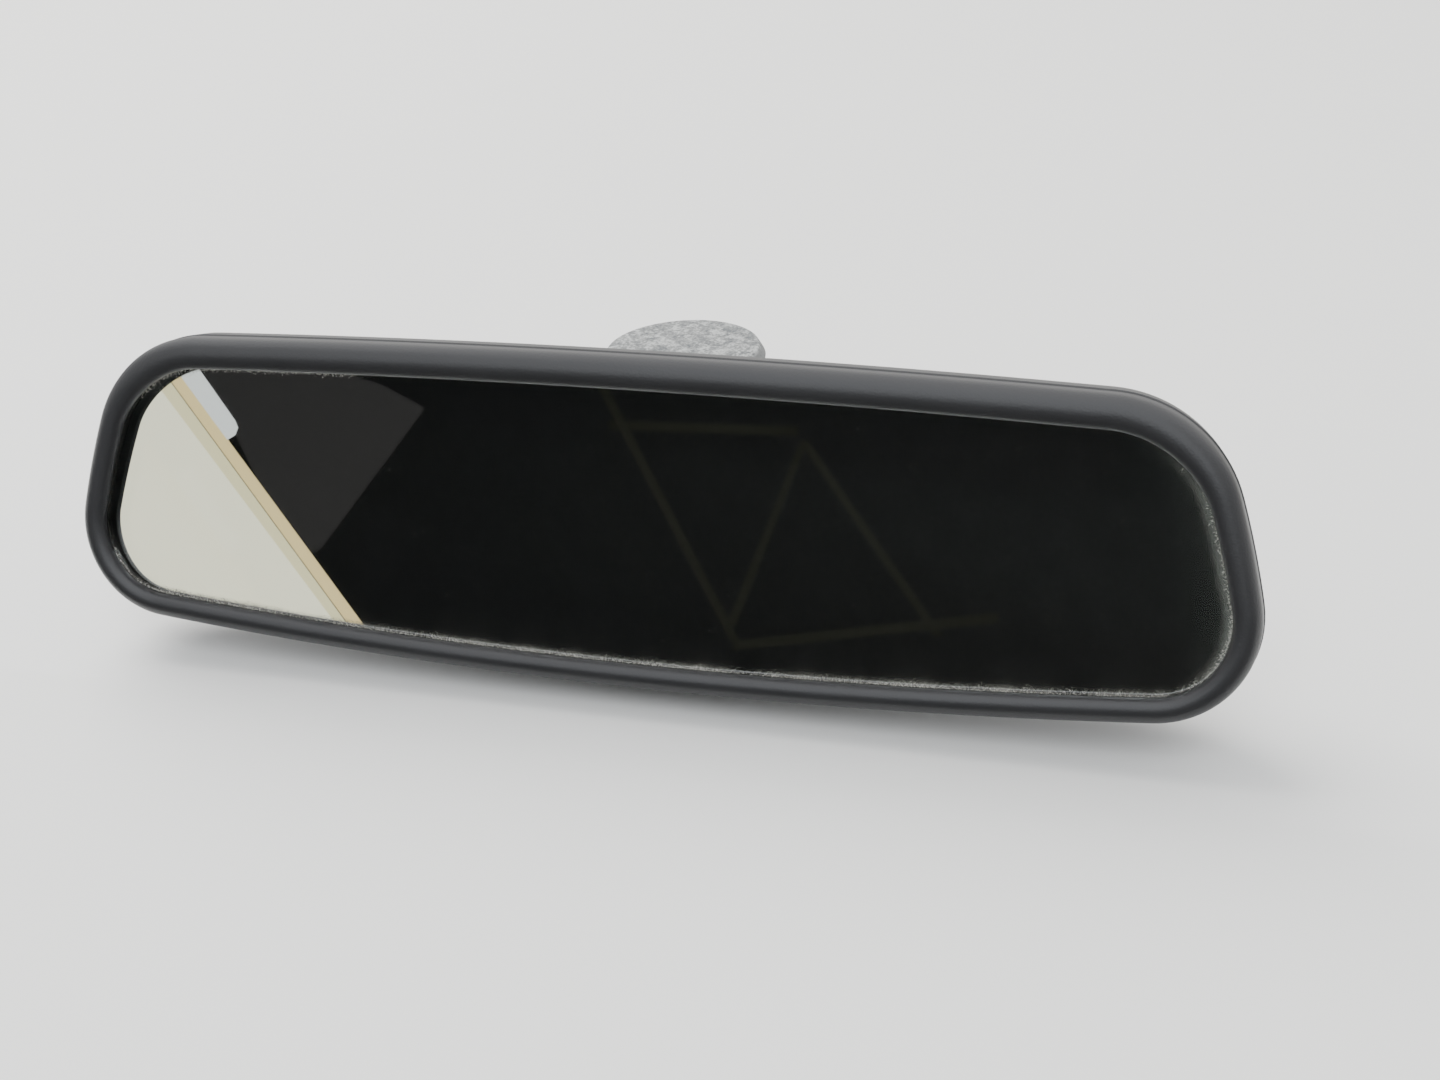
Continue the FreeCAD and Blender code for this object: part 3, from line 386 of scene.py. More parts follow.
def clear_glass():
    """Clear glass with faint wiping marks and a little dust."""
    n = Nodes("wedge_glass")
    wipe = n.add("ShaderNodeMapping", {"Vector": n.coords(), "Scale": (14.0, 60.0, 160.0),
                                       "Rotation": (0.0, 0.35, 0.0)}).outputs["Vector"]
    smear = n.noise(3.0, 5.0, 0.6, vector=wipe)
    roughness = n.ramp(smear, [(0.45, 0.0), (0.9, 0.012)])
    n.principled(Base_Color=(0.93, 0.96, 0.95, 1), Roughness=roughness, IOR=1.52,
                 Transmission_Weight=1.0)
    return n.material


def silvering():
    """Silver behind the glass, with a soft unevenness of tone."""
    n = Nodes("silvering")
    tone = n.ramp(n.noise(9.0, 2.0), [(0.3, (0.86, 0.87, 0.86)), (0.7, (0.90, 0.90, 0.89))])
    n.principled(Base_Color=tone, Metallic=1.0, Roughness=0.01)
    return n.material


def metal(name, dark, light, rough):
    """Bare or plated steel with fine marks."""
    n = Nodes(name)
    marks = n.noise(900.0, 4.0, 0.6)
    tone = n.mix(marks, (*dark, 1), (*light, 1))
    roughness = n.ramp(marks, [(0.3, rough), (0.8, rough + 0.14)])
    n.principled(Base_Color=tone, Metallic=1.0, Roughness=roughness,
                 Normal=n.bump(marks, 0.12, 0.00003))
    return n.material


def soft_material(name, dark, light, scale, rough=0.85, depth=0.0002):
    """Rubber, felt or foam: matt, with cells or fibres."""
    n = Nodes(name)
    cells = n.voronoi(scale)
    fibres = n.noise(scale * 1.7, 5.0, 0.7)
    tone = n.mix(fibres, (*dark, 1), (*light, 1))
    height = n.math("ADD", cells, fibres)
    n.principled(Base_Color=tone, Roughness=rough, Normal=n.bump(height, 0.5, depth))
    return n.material


def cast_zinc():
    """Cast zinc foot: mottled oxide and adhesive residue on the face, duller metal elsewhere."""
    n = Nodes("cast_zinc")
    blotch = n.noise(330.0, 5.0, 0.62, distortion=0.6)
    speck = n.noise(1500.0, 3.0, 0.65)
    crust = n.voronoi(1100.0)
    metal_tone = n.mix(speck, (0.115, 0.118, 0.120, 1), (0.30, 0.305, 0.30, 1))
    mottle = n.math("ADD", n.math("MULTIPLY", blotch, 0.55), n.math("MULTIPLY", speck, 0.45))
    residue = n.ramp(mottle, [(0.40, (0.10, 0.11, 0.115)), (0.50, (0.23, 0.235, 0.23)),
                              (0.58, (0.43, 0.44, 0.43))])
    z = n.add("ShaderNodeSeparateXYZ", {"Vector": n.coords()}).outputs["Z"]
    on_face = n.ramp(n.math("ADD", n.math("MULTIPLY", z, 900.0), 1.0), [(0.2, 0.0), (0.8, 1.0)])
    tone = n.mix(on_face, metal_tone, residue)
    height = n.math("ADD", n.math("MULTIPLY", speck, 0.5), n.math("MULTIPLY", crust, 0.5))
    n.principled(Base_Color=tone, Metallic=0.25, Roughness=0.72,
                 Normal=n.bump(height, 0.55, 0.00012))
    return n.material


def nylon():
    """Natural nylon, off-white and a little translucent."""
    n = Nodes("nylon")
    tone = n.ramp(n.noise(120.0, 3.0), [(0.3, (0.62, 0.60, 0.53)), (0.7, (0.74, 0.72, 0.65))])
    n.principled(Base_Color=tone, Roughness=0.42, Subsurface_Weight=0.08,
                 Normal=n.bump(n.noise(1600.0, 2.0), 0.08, 0.00003))
    return n.material


def fluff_material():
    """Grey-beige fluff that collects along the lip."""
    n = Nodes("lint")
    fluff = n.noise(2600.0, 6.0, 0.75, distortion=1.0)
    tone = n.ramp(fluff, [(0.3, (0.30, 0.30, 0.27)), (0.7, (0.62, 0.61, 0.56))])
    n.principled(Base_Color=tone, Roughness=0.95, Normal=n.bump(fluff, 0.8, 0.0002))
    return n.material


def film_material():
    """See-through layer whose dust and painted reflection follow the colour layer of its mesh."""
    n = Nodes("dust_and_reflection_film")
    # The colour layer holds dust, and along the right lip a painted reflection of the rim's lit inner
    # round as well.
    dust_and_reflection = n.add("ShaderNodeVertexColor", layer_name="dust_and_reflection")
    grain = n.ramp(n.noise(3800.0, 4.0, 0.7), [(0.35, 0.85), (0.65, 1.15)])
    tone = n.mix(n.noise(900.0, 3.0), dust_and_reflection.outputs["Color"], (0.70, 0.68, 0.62, 1))
    cover = n.math("MULTIPLY", dust_and_reflection.outputs["Alpha"], grain, clamp=True)
    clear = n.add("ShaderNodeBsdfTransparent").outputs[0]
    matt = n.add("ShaderNodeBsdfDiffuse", {"Color": tone}).outputs[0]
    mixed = n.add("ShaderNodeMixShader", {0: cover, 1: clear, 2: matt}).outputs[0]
    n.tree.links.new(mixed, n.output.inputs["Surface"])
    return n.material


BEZEL = moulded_plastic("bezel_plastic", (0.0145, 0.0145, 0.0155), (0.0215, 0.0215, 0.023),
                        2600.0, 0.40)
SHELL = moulded_plastic("shell_plastic", (0.016, 0.016, 0.017), (0.024, 0.024, 0.025),
                        1500.0, 0.38, 0.00005)
INNER = moulded_plastic("structural_plastic", (0.020, 0.020, 0.022), (0.034, 0.034, 0.036),
                        700.0, 0.55, 0.00008)
LEVER = moulded_plastic("lever_plastic", (0.018, 0.018, 0.019), (0.028, 0.028, 0.029), 1900.0, 0.45)
GRIP = soft_material("soft_grip", (0.014, 0.014, 0.015), (0.024, 0.024, 0.025), 2400.0, 0.72, 0.00005)
GLASS = clear_glass()
SILVER = silvering()
ZINC = cast_zinc()
STEEL = metal("polished_steel", (0.42, 0.42, 0.43), (0.60, 0.60, 0.61), 0.20)
PLATED = metal("zinc_plated_steel", (0.48, 0.48, 0.46), (0.66, 0.66, 0.62), 0.30)
SPRING = metal("spring_steel", (0.24, 0.24, 0.26), (0.40, 0.40, 0.42), 0.32)
NYLON = nylon()
RUBBER = soft_material("rubber", (0.020, 0.020, 0.020), (0.034, 0.034, 0.034), 1200.0, 0.78, 0.0001)
FELT = soft_material("felt", (0.020, 0.020, 0.021), (0.050, 0.050, 0.052), 1500.0, 0.95, 0.0004)
FOAM = soft_material("foam", (0.05, 0.05, 0.055), (0.11, 0.11, 0.12), 700.0, 0.95, 0.0006)
TAPE = soft_material("adhesive_foam", (0.06, 0.06, 0.06), (0.12, 0.12, 0.12), 1100.0, 0.9, 0.0003)
LINT = fluff_material()
FILM = film_material()


def finish_piece(thing, material, body, slot, *replaced):
    """Give a piece its material, its body and the CAD nodes that it stands for, which it hides; the
    slot argument is not used.
    """
    thing.data.materials.clear()
    thing.data.materials.append(material)
    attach(thing, body)
    if replaced:
        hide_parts(*replaced)
    return thing


def arc(centre, radius, start, end, steps=9):
    """Points of a circular arc between two angles in degrees."""
    out = []
    for k in range(steps + 1):
        angle = math.radians(start + (end - start) * k / steps)
        out.append((centre[0] + radius * math.cos(angle), centre[1] + radius * math.sin(angle)))
    return out


# ---------------------------------------------------------------- bezel

SEAM = 0.14 * MM           # half the gap at the parting line
INNER_SHARE = 0.42         # of the rim's width inside its crest
RIM_EDGE = 0.35 * MM
GLASS_PLAY = 0.03 * MM     # between the rim and the front of the glass


def bezel_profile(width):
    """Closed cross-section of the rim, from its skirt round the front to the tongue."""
    inner = INNER_SHARE * width
    wide = width - inner - RIM_STEP
    edge = RIM_EDGE
    back = PARTING - SEAM
    points = arc((RIM_STEP + edge, back - edge), edge, 90, 180, 4)
    centre = RIM_OUTER_ROUND - RIM_FRONT
    points += [(width - inner + wide * math.cos(angle), centre + RIM_OUTER_ROUND * math.sin(angle))
               for angle in (math.radians(180 + 90 * k / 16) for k in range(17))]
    centre = RIM_INNER_ROUND - RIM_FRONT
    points += [(width - inner + inner * math.sin(angle), centre - RIM_INNER_ROUND * math.cos(angle))
               for angle in (math.radians(9 * k) for k in range(1, 11))]
    points += [(width, -0.25 * MM), (width - 0.1 * MM, -GLASS_PLAY), (SKIRT, -GLASS_PLAY),
               (SKIRT, PARTING - 1.0 * MM), (TONGUE_IN, PARTING - 1.0 * MM),
               (TONGUE_IN, TONGUE_END), (TONGUE_OUT, TONGUE_END), (TONGUE_OUT, back)]
    return points


def build_bezel():
    """Rim round the glass, in one sweep."""
    bezel = sweep("bezel", OUTLINE, bezel_profile)
    finish_piece(bezel, BEZEL, "head", "bezel_plastic", "front_bezel")


# ---------------------------------------------------------------- rear shell

SHELL_COUNTS = (20, 84, 24)
SHELL_EDGE = PARTING + SEAM
ROD_BORE = (1.26 * MM, 12 * MM, 19 * MM)       # radius, y, z in the head frame
PIN_BORE = (1.21 * MM, 15 * MM, -26 * MM)
SIDE_BOSSES = (            # near x, far x, then spans in y and z, in mm, on both sides
    (27.0, 33.0, 8.5, 15.5, 15.5, 40.0),       # bearings of the hinge rod
    (14.2, 18.5, 12.0, 18.0, -40.0, -23.0),    # bearings of the lever pin
    (20.5, 25.5, 16.6, 45.0, -16.5, -11.5),    # stops that carry the rubber bumpers
)
SPRING_PAD = ((-11 * MM, 7.2 * MM, -40 * MM), (11 * MM, 11 * MM, -29.1 * MM))


def dome_rows(inset, crown, steps, start):
    """Rows of points over a dome, from its front edge at a depth to its crown."""
    rows = []
    band = PARTING + SHELL_BAND
    places = [(0.0, start, 0.0), (0.0, (start + band) / 2, END_TAPER / 2)]
    for step in range(steps + 1):
        share = math.sin(math.radians(crown) * step / steps)
        places.append((share, band + (SHELL_DEPTH - inset - band) * share, END_TAPER))
    for share, depth, taper in places:
        rows.append([(point.x - normal.x * inset, depth, point.y - normal.y * inset)
                     for point, normal in section(share, SHELL_COUNTS, taper)])
    return rows


def closed_skin(name, rows):
    """Closed mesh over rows of equal length, its two ends capped."""
    count = len(rows[0])
    verts = [point for row in rows for point in row]
    faces = [(r * count + k, r * count + (k + 1) % count, (r + 1) * count + (k + 1) % count,
              (r + 1) * count + k) for r in range(len(rows) - 1) for k in range(count)]
    faces += [tuple(range(len(verts) - count, len(verts))), tuple(reversed(range(count)))]
    return new_object(name, verts, faces)


def block_mesh(name, spans, bevel=0.4 * MM):
    """Boxes given as (low, high) corners, in one mesh, with bevelled edges."""
    bm = bmesh.new()
    for low, high in spans:
        low, high = Vector(low), Vector(high)
        made = bmesh.ops.create_cube(bm, size=1.0)
        size = high - low
        bmesh.ops.scale(bm, vec=size, verts=made["verts"])
        bmesh.ops.translate(bm, vec=(low + high) / 2, verts=made["verts"])
    if bevel:
        bmesh.ops.bevel(bm, geom=list(bm.edges), offset=bevel, segments=2, affect="EDGES",
                        profile=0.5)
    mesh = bpy.data.meshes.new(name)
    bm.to_mesh(mesh)
    bm.free()
    thing = link_object(name, mesh)
    fix_normals(thing)
    smooth_by_angle(thing)
    return thing


def join(first, *others):
    """Put the meshes of the others into the first object."""
    bm = bmesh.new()
    for thing in (first, *others):
        bm.from_mesh(thing.data)
    bm.to_mesh(first.data)
    bm.free()
    for thing in others:
        bpy.data.objects.remove(thing)
    return first


def socket_frame():
    """From the socket's frame, with Z along the mouth of the ball joint, to the head's."""
    return (Matrix.Translation((0, BALL_DEPTH, 0))
            @ Matrix.Rotation(SOCKET_ANGLE - math.pi / 2, 4, "X"))


def build_shell():
    """Moulded back with its wall, inner bosses, opening for the ball joint and lever slot."""
    trim = closed_skin("trim", dome_rows(0.9 * MM, 80.0, 30, SHELL_EDGE))
    spans = []
    for sign in (-1, 1):
        for near, far, y0, y1, z0, z1 in SIDE_BOSSES:
            x0, x1 = sorted((sign * near * MM, sign * far * MM))
            spans.append(((x0, y0 * MM, z0 * MM), (x1, y1 * MM, z1 * MM)))
    bosses = block_mesh("bosses", spans + [SPRING_PAD], 0.25 * MM)
    boolean(bosses, trim, "INTERSECT")
    for radius, y, z in (ROD_BORE, PIN_BORE):
        bore = cylinder("bore", radius, -60 * MM, 60 * MM, 32)
        move(bore, Matrix.Translation((0, y, z)) @ ALONG_X)
        boolean(bosses, bore, "DIFFERENCE")
    inside = dome_rows(SHELL_WALL, 74.0, 30, SHELL_EDGE)
    outside = dome_rows(0.0, 87.5, 46, SHELL_EDGE)
    lip = [[Vector(a).lerp(Vector(b), 0.12) for a, b in zip(outside[0], outside[1])]]
    inner_lip = [[Vector(a).lerp(Vector(b), 0.15) for a, b in zip(outside[0], inside[0])]]
    shell = closed_skin("rear_shell_skin", list(reversed(inside)) + inner_lip + lip + outside[1:])
    cutter = cylinder("cutter", OPENING_RADIUS, -OPENING_START, 60 * MM, 160)
    boolean(shell, move(cutter, socket_frame()), "DIFFERENCE")
    span = ((-SLOT_HALF, SLOT_FRONT, -60 * MM), (SLOT_HALF, SLOT_BACK, -23 * MM))
    boolean(shell, block_mesh("slot", [span], 1.2 * MM), "DIFFERENCE")
    smooth_by_angle(shell, 32.0)
    smooth_by_angle(bosses, 30.0)
    move(join(shell, bosses), HEAD)
    finish_piece(shell, SHELL, "head", "shell_plastic", "rear_shell")


# ---------------------------------------------------------------- glass

def wedge_depth(z, extra=0.0):
    """Depth at a height of the sloping back of the glass, or of what lies behind it."""
    slope = (GLASS_TOP - GLASS_BOTTOM) / (2 * TOP_Z)
    return (GLASS_TOP + GLASS_BOTTOM) / 2 + slope * z + extra


def plate(name, front, back, lap, edge=0.0):
    """Plate in the shape of the glass, between two depth functions of height."""
    verts, loops = [], []
    turns = [(0.0, front), (0.0, back)]
    if edge:
        turns = [(edge, front), *turns, (edge, back)]
    for inset_more, which in turns:
        loop = []
        for point, normal in OUTLINE:
            at = point - normal * (rim_width(normal) - lap + inset_more)
            depth = which(at.y)
            if inset_more == 0.0 and edge:
                depth += edge if which is front else -edge
            loop.append(len(verts))
            verts.append(HEAD @ Vector((at.x, depth, at.y)))
        loops.append(loop)
    count = len(OUTLINE)
    faces = [(a[k], a[(k + 1) % count], b[(k + 1) % count], b[k])
             for a, b in zip(loops, loops[1:]) for k in range(count)]
    faces += [tuple(loops[0]), tuple(reversed(loops[-1]))]
    return new_object(name, verts, faces, smooth=False)


def build_glass():
    """Wedge of glass and the silvering on its sloping back."""
    glass = plate("glass_wedge", lambda z: 0.0, wedge_depth, GLASS_LAP, 0.25 * MM)
    finish_piece(glass, GLASS, "head", "glass", "prism_glass")
    silver = plate("silver_back", lambda z: wedge_depth(z, -0.004 * MM),
                   lambda z: wedge_depth(z, SILVER_THICK), GLASS_LAP - 0.02 * MM)
    finish_piece(silver, SILVER, "head", "mirror_layer", "silver_layer")


LINT_PER_MM = 22           # crumbs along a millimetre of a lip at its fullest
SPECKS = 46                # loose ones over the whole glass


def build_lint():
    """Crumbs and fibres of dust caught along the lower and right lips of the rim."""
    verts, faces = [], []

    def crumb(x, z, length, width, height, angle):
        ahead = Vector((math.cos(angle), 0, math.sin(angle))) * length
        side = Vector((-math.sin(angle), 0, math.cos(angle))) * width
        middle = Vector((x, -0.02 * MM, z))
        base = len(verts)
        corners = (ahead, side, -ahead, -side)
        verts.extend(HEAD @ (middle + c * random.uniform(0.7, 1.2)) for c in corners)
        verts.append(HEAD @ (middle + Vector((0, -height, 0))))
        faces.extend((base + k, base + (k + 1) % 4, base + 4) for k in range(4))
        faces.append((base + 3, base + 2, base + 1, base))

    total = len(OUTLINE)
    for i, (point, normal) in enumerate(OUTLINE):
        following = OUTLINE[(i + 1) % total][0]
        step = (following - point).length
        low = max(-normal.y, 0.0) ** 2
        right = max(normal.x, 0.0) ** 4 * 0.7
        left_half = 1.0 if point.x < 20 * MM else 0.65
        patch = 0.55 + 0.9 * noise.noise(Vector((point.x * 55, point.y * 55, 3.1)))
        amount = (low * left_half + right) * max(patch, 0.12)
        if normal.y > 0.6 and point.x < -60 * MM:
            amount = 0.25
        for _ in range(int(amount * step / MM * LINT_PER_MM)):
            at = point.lerp(following, random.random())
            away = abs(random.gauss(0.0, 0.35)) * MM
            at = at - normal * (rim_width(normal) + 0.05 * MM + away)
            crumb(at.x, at.y, random.uniform(0.06, 0.34) * MM, random.uniform(0.03, 0.09) * MM,
                  random.uniform(0.04, 0.16) * MM, random.uniform(0, math.pi))
    for _ in range(SPECKS):
        at = Vector((random.uniform(-105, 108), random.uniform(-24, 24))) * MM
        crumb(at.x, at.y, random.uniform(0.05, 0.16) * MM, random.uniform(0.04, 0.10) * MM,
              0.05 * MM, random.uniform(0, math.pi))
    lint = new_object("lint", verts, faces, smooth=False)
    lint.data.materials.append(LINT)
    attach(lint, "head")


FILM_STEPS = (0.02, 0.25, 0.6, 1.1, 1.7, 2.6, 4.5, 9.0)      # mm in from the lip of the rim
FILM_DEPTHS = (-0.030 * MM, -0.012 * MM)                     # its faces, in front of the glass


def build_film():
    """Thin film of dust on the glass, densest along the lower lip; along the right lip it is dust
    with a painted greenish reflection of the rim's lit inner round.
    """
    verts, shades = [], []
    for depth, (point, normal) in itertools.product(FILM_DEPTHS, OUTLINE):
        low, right = max(-normal.y, 0.0) ** 2, max(normal.x, 0.0) ** 3
        patch = max(0.1, 0.75 + 0.6 * noise.noise(Vector((point.x * 90, point.y * 90, 5.3)))
                    + 0.9 * noise.noise(Vector((point.x * 430, point.y * 430, 1.7))))
        across = 0.5 + 0.5 * point.x / BOTTOM_HALF
        for step in FILM_STEPS:
            at = point - normal * (rim_width(normal) + step * MM)
            verts.append(HEAD @ Vector((at.x, depth, at.y)))
            # Along the right lip the cover is dust plus a painted reflection of the rim's lit inner
            # round; elsewhere it is dust.
            cover = (low * patch * (0.34 * math.exp(-(step / 0.7) ** 2)
                                    + 0.02 * math.exp(-step / 2))
                     + right * (0.13 * math.exp(-(step / 1.6) ** 4) + 0.03 * math.exp(-step / 4))
                     + 0.03 * math.exp(-(step / 0.3) ** 2) + 0.003 + 0.006 * across ** 2)
            # Share of the right lip's painted reflection, which tints the film greenish.
            painted_reflection_share = right / (right + low + 0.01)
            each_face = 1 - math.sqrt(1 - min(cover, 1.0))
            shades.append((0.56 - 0.16 * painted_reflection_share, 0.54 - 0.06 * painted_reflection_share, 0.46 - 0.04 * painted_reflection_share,
                           each_face))
    size, count = len(FILM_STEPS), len(OUTLINE)
    faces = []
    for first in (0, count):
        rows = [(first + i, first + (i + 1) % count) for i in range(count)]
        faces += [(a * size + k, a * size + k + 1, b * size + k + 1, b * size + k)
                  for a, b in rows for k in range(size - 1)]
        faces.append(tuple(a * size + size - 1 for a, _ in rows))
    faces += [(i * size, (i + 1) % count * size, (count + (i + 1) % count) * size,
               (count + i) * size) for i in range(count)]
    film = new_object("dust_and_reflection_film", verts, faces, smooth=False)
    layer = film.data.color_attributes.new("dust_and_reflection", "FLOAT_COLOR", "POINT")
    for item, shade in zip(layer.data, shades):
        item.color = shade
    film.data.materials.append(FILM)
    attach(film, "head")


# ---------------------------------------------------------------- foot and ball joint

STALK = Vector((0.0, math.sin(SOCKET_ANGLE), math.cos(SOCKET_ANGLE)))
FOOT_THICK = 4.2                             # mm, like the radii below
BALL_RADIUS, NECK_RADIUS, SHANK_RADIUS = 8.0, 3.6, 3.58


def stalk_frame():
    """From a frame at the ball's centre, with Z along the stud towards the foot, to the row's."""
    turn = Vector((0, 0, 1)).rotation_difference(STALK).to_matrix().to_4x4()
    return Matrix.Translation(ball_centre) @ turn


def build_foot():
    """Round bonding foot with a flared rim and an inclined, waisted boss."""
    disc = [(0, 0), (15.9, 0)] + arc((15.9, -0.5), 0.5, 90, 20, 5)
    disc += [(17.38, -2.2)] + arc((17.1, -2.6), 0.4, 15, -60, 5)
    disc += arc((15.6, -3.5), 0.7, -20, -90, 5) + [(0, -FOOT_THICK)]
    foot = lathe_mm("foot_disc", disc, 160)
    boss = [(0, 18.0), (5.6, 18.0)] + arc((5.6, 18.5), 0.6, -90, 0, 4)
    boss += [(6.35, 20.0), (6.7, 23.0), (7.3, 26.0), (8.1, 30.0), (8.6, 34.0), (8.9, 40.0),
             (0, 40.0)]
    boss = lathe_mm("foot_boss", boss, 96)
    move(boss, stalk_frame())
    keep = block_mesh("keep", [((-0.05, -0.08, -0.08), (0.05, 0.05, -2.0 * MM))], 0)
    boolean(boss, keep, "INTERSECT")
    boolean(foot, boss, "UNION")
    pocket = cylinder("pocket", SHANK_RADIUS * MM, 10 * MM, 29 * MM, 48)
    boolean(foot, move(pocket, stalk_frame()), "DIFFERENCE")
    smooth_by_angle(foot, 30.0)
    finish_piece(foot, ZINC, "foot", "cast_zinc", "mount_foot")


def build_stud():
    """Steel ball with a waisted neck and a staked shank in the foot."""
    neck_angle = math.degrees(math.asin(NECK_RADIUS / BALL_RADIUS))
    profile = [(0, -BALL_RADIUS)] + arc((0, 0), BALL_RADIUS, -88, 90 - neck_angle - 3, 40)
    profile += [(3.55, 7.55), (3.3, 8.3), (3.3, 10.5), (3.55, 11.2), (SHANK_RADIUS, 12.0),
                (SHANK_RADIUS, 28.6), (3.2, 28.98), (0, 28.98)]
    stud = lathe_mm("ball_stud_body", profile, 112)
    move(stud, stalk_frame())
    finish_piece(stud, STEEL, "foot", "polished_steel", "ball_stud")


def build_liner():
    """Nylon band at the mouth of the socket, with a rounded lip."""
    inner, outer, low, high = 8.06, 9.14, -1.4, 4.9
    profile = arc((0, 0), outer, math.degrees(math.asin(low / outer)),
                  math.degrees(math.asin(high / outer)) - 0.8, 14)
    profile += arc((0, 0), inner, math.degrees(math.asin((high - 0.06) / inner)),
                   math.degrees(math.asin(low / inner)), 14)
    profile.append(profile[0])
    liner = lathe_mm("liner_band", profile, 112)
    remove_doubles(liner)
    move(liner, HEAD @ socket_frame())
    finish_piece(liner, NYLON, "liner", "nylon", "ball_liner")


EAR_X, EAR_RADIUS = 13.7, 3.3                # mm, in the socket's frame
RING_GAP, RING_FLANGE, MOUTH = 0.15, 2.0, 4.9
HOLLOW = 9.2               # radius of the ring's inside, round the liner


def build_ring():
    """Clamp ring with its two ears."""
    wall = [(9.0, RING_GAP)] + [(10.8, RING_GAP)] + arc((10.3, MOUTH - 0.5), 0.5, 0, 90, 5)
    wall += [(8.0, MOUTH), (9.0, RING_GAP)]
    ring = lathe_mm("clamp_ring_body", wall, 128)
    remove_doubles(ring)
    flange = []
    for sign in (1, -1):
        flange += [(sign * EAR_X + EAR_RADIUS * math.cos(a), EAR_RADIUS * math.sin(a))
                   for a in (math.radians((-90 if sign > 0 else 90) + 180 * k / 20)
                             for k in range(21))]
    ears = prism("ears", flange, RING_GAP, RING_GAP + RING_FLANGE, 0.35)
    boolean(ring, ears, "UNION")
    hollow = lathe_mm("hollow", [(0, -HOLLOW)] + arc((0, 0), HOLLOW, -89, 89, 60) + [(0, HOLLOW)],
                      128)
    boolean(ring, hollow, "DIFFERENCE")
    for sign in (-1, 1):
        hole = cylinder("hole", 1.3 * MM, -2 * MM, 8 * MM, 32)
        boolean(ring, move(hole, Matrix.Translation((sign * EAR_X * MM, 0, 0))), "DIFFERENCE")
    smooth_by_angle(ring, 30.0)
    move(ring, HEAD @ socket_frame())
    finish_piece(ring, INNER, "bracket", "structural_plastic", "clamp_ring")


def prism(name, points, low, high, bevel=0.0):
    """Straight prism over a 2-D outline in mm, its edges bevelled."""
    bm = bmesh.new()
    ring = [bm.verts.new((x * MM, y * MM, low * MM)) for x, y in points]
    face = bm.faces.new(ring)
    raised = bmesh.ops.extrude_face_region(bm, geom=[face])["geom"]
    bmesh.ops.translate(bm, vec=(0, 0, (high - low) * MM),
                        verts=[g for g in raised if isinstance(g, bmesh.types.BMVert)])
    bmesh.ops.recalc_face_normals(bm, faces=bm.faces)
    if bevel:
        rims = [e for e in bm.edges if e.calc_face_angle(0.0) > math.radians(60)]
        bmesh.ops.bevel(bm, geom=rims, offset=bevel * MM, segments=3, affect="EDGES", profile=0.5)
    mesh = bpy.data.meshes.new(name)
    bm.to_mesh(mesh)
    bm.free()
    thing = link_object(name, mesh)
    smooth_by_angle(thing)
    return thing


def build_screws():
    """Two slotted clamp screws, each on its conical spring washer."""
    seat = RING_GAP + RING_FLANGE
    screws, washers = [], []
    for sign in (-1, 1):
        at = Matrix.Translation((sign * EAR_X * MM, 0, 0))
        top = seat + 0.7
        head = [(0, top - 5.0), (1.2, top - 5.0), (1.2, top), (1.95, top)]
        head += arc((1.85, top + 0.25), 0.25, -90, 0, 3) + arc((1.5, top + 0.6), 0.58, 15, 90, 5)
        head += [(0, top + 1.2)]
        screw = lathe_mm("clamp_screw", head, 48)
        slot = block_mesh("slot", [((-3 * MM, -0.28 * MM, (top + 0.65) * MM),
                                    (3 * MM, 0.28 * MM, (top + 3) * MM))], 0)
        boolean(screw, slot, "DIFFERENCE")
        smooth_by_angle(screw, 30.0)
        screws.append(move(screw, at))
        disc = [(1.32, seat + 0.28), (1.32, seat + 0.68), (1.7, seat + 0.68), (2.5, seat + 0.34),
                (2.52, seat + 0.04), (2.2, seat + 0.03), (1.32, seat + 0.28)]
        washer = lathe_mm("spring_washer", disc, 48)
        remove_doubles(washer)
        washers.append(move(washer, at))
    for group, material, slot_name, node in (
            (screws, PLATED, "zinc_plated_steel", "clamp_screws"),
            (washers, SPRING, "spring_steel", "spring_washers")):
        whole = join(*group)
        move(whole, HEAD @ socket_frame())
        finish_piece(whole, material, "bracket", slot_name, node)


# ---------------------------------------------------------------- day/night lever

PIN = Vector((0, 15.0, -26.0))               # sizes here are in mm
TAB_ANGLE, LEVER_THROW = 10.0, 30.0          # degrees
TAB_HALF, TAB_LENGTH, TAB_THICK = 12.6, 17.0, 2.6
HUB_HALF, HUB_RADIUS = 12.0, 3.0
CRANK, NOSE_HALF, NOSE_RADIUS = 5.6, 3.4, 1.4
GRIP_WALL, GRIP_LENGTH, GRIP_NOSE, RIDGE_DEPTH, RIDGES = 0.9, 7.5, 1.9, 0.32, 4


def lever_frame(angle):
    """Frame at the lever's pin, turned about it by an angle in degrees."""
    return (HEAD @ Matrix.Translation(PIN * MM)
            @ Matrix.Rotation(math.radians(angle), 4, "X"))


def rounded_rectangle(half, low, high, radius, steps=6):
    """Outline of a tab in its own plane, its far corners rounded."""
    points = [(-half, low), (half, low)]
    points += arc((half - radius, high - radius), radius, 0, 90, steps)
    points += arc((radius - half, high - radius), radius, 90, 180, steps)
    return points


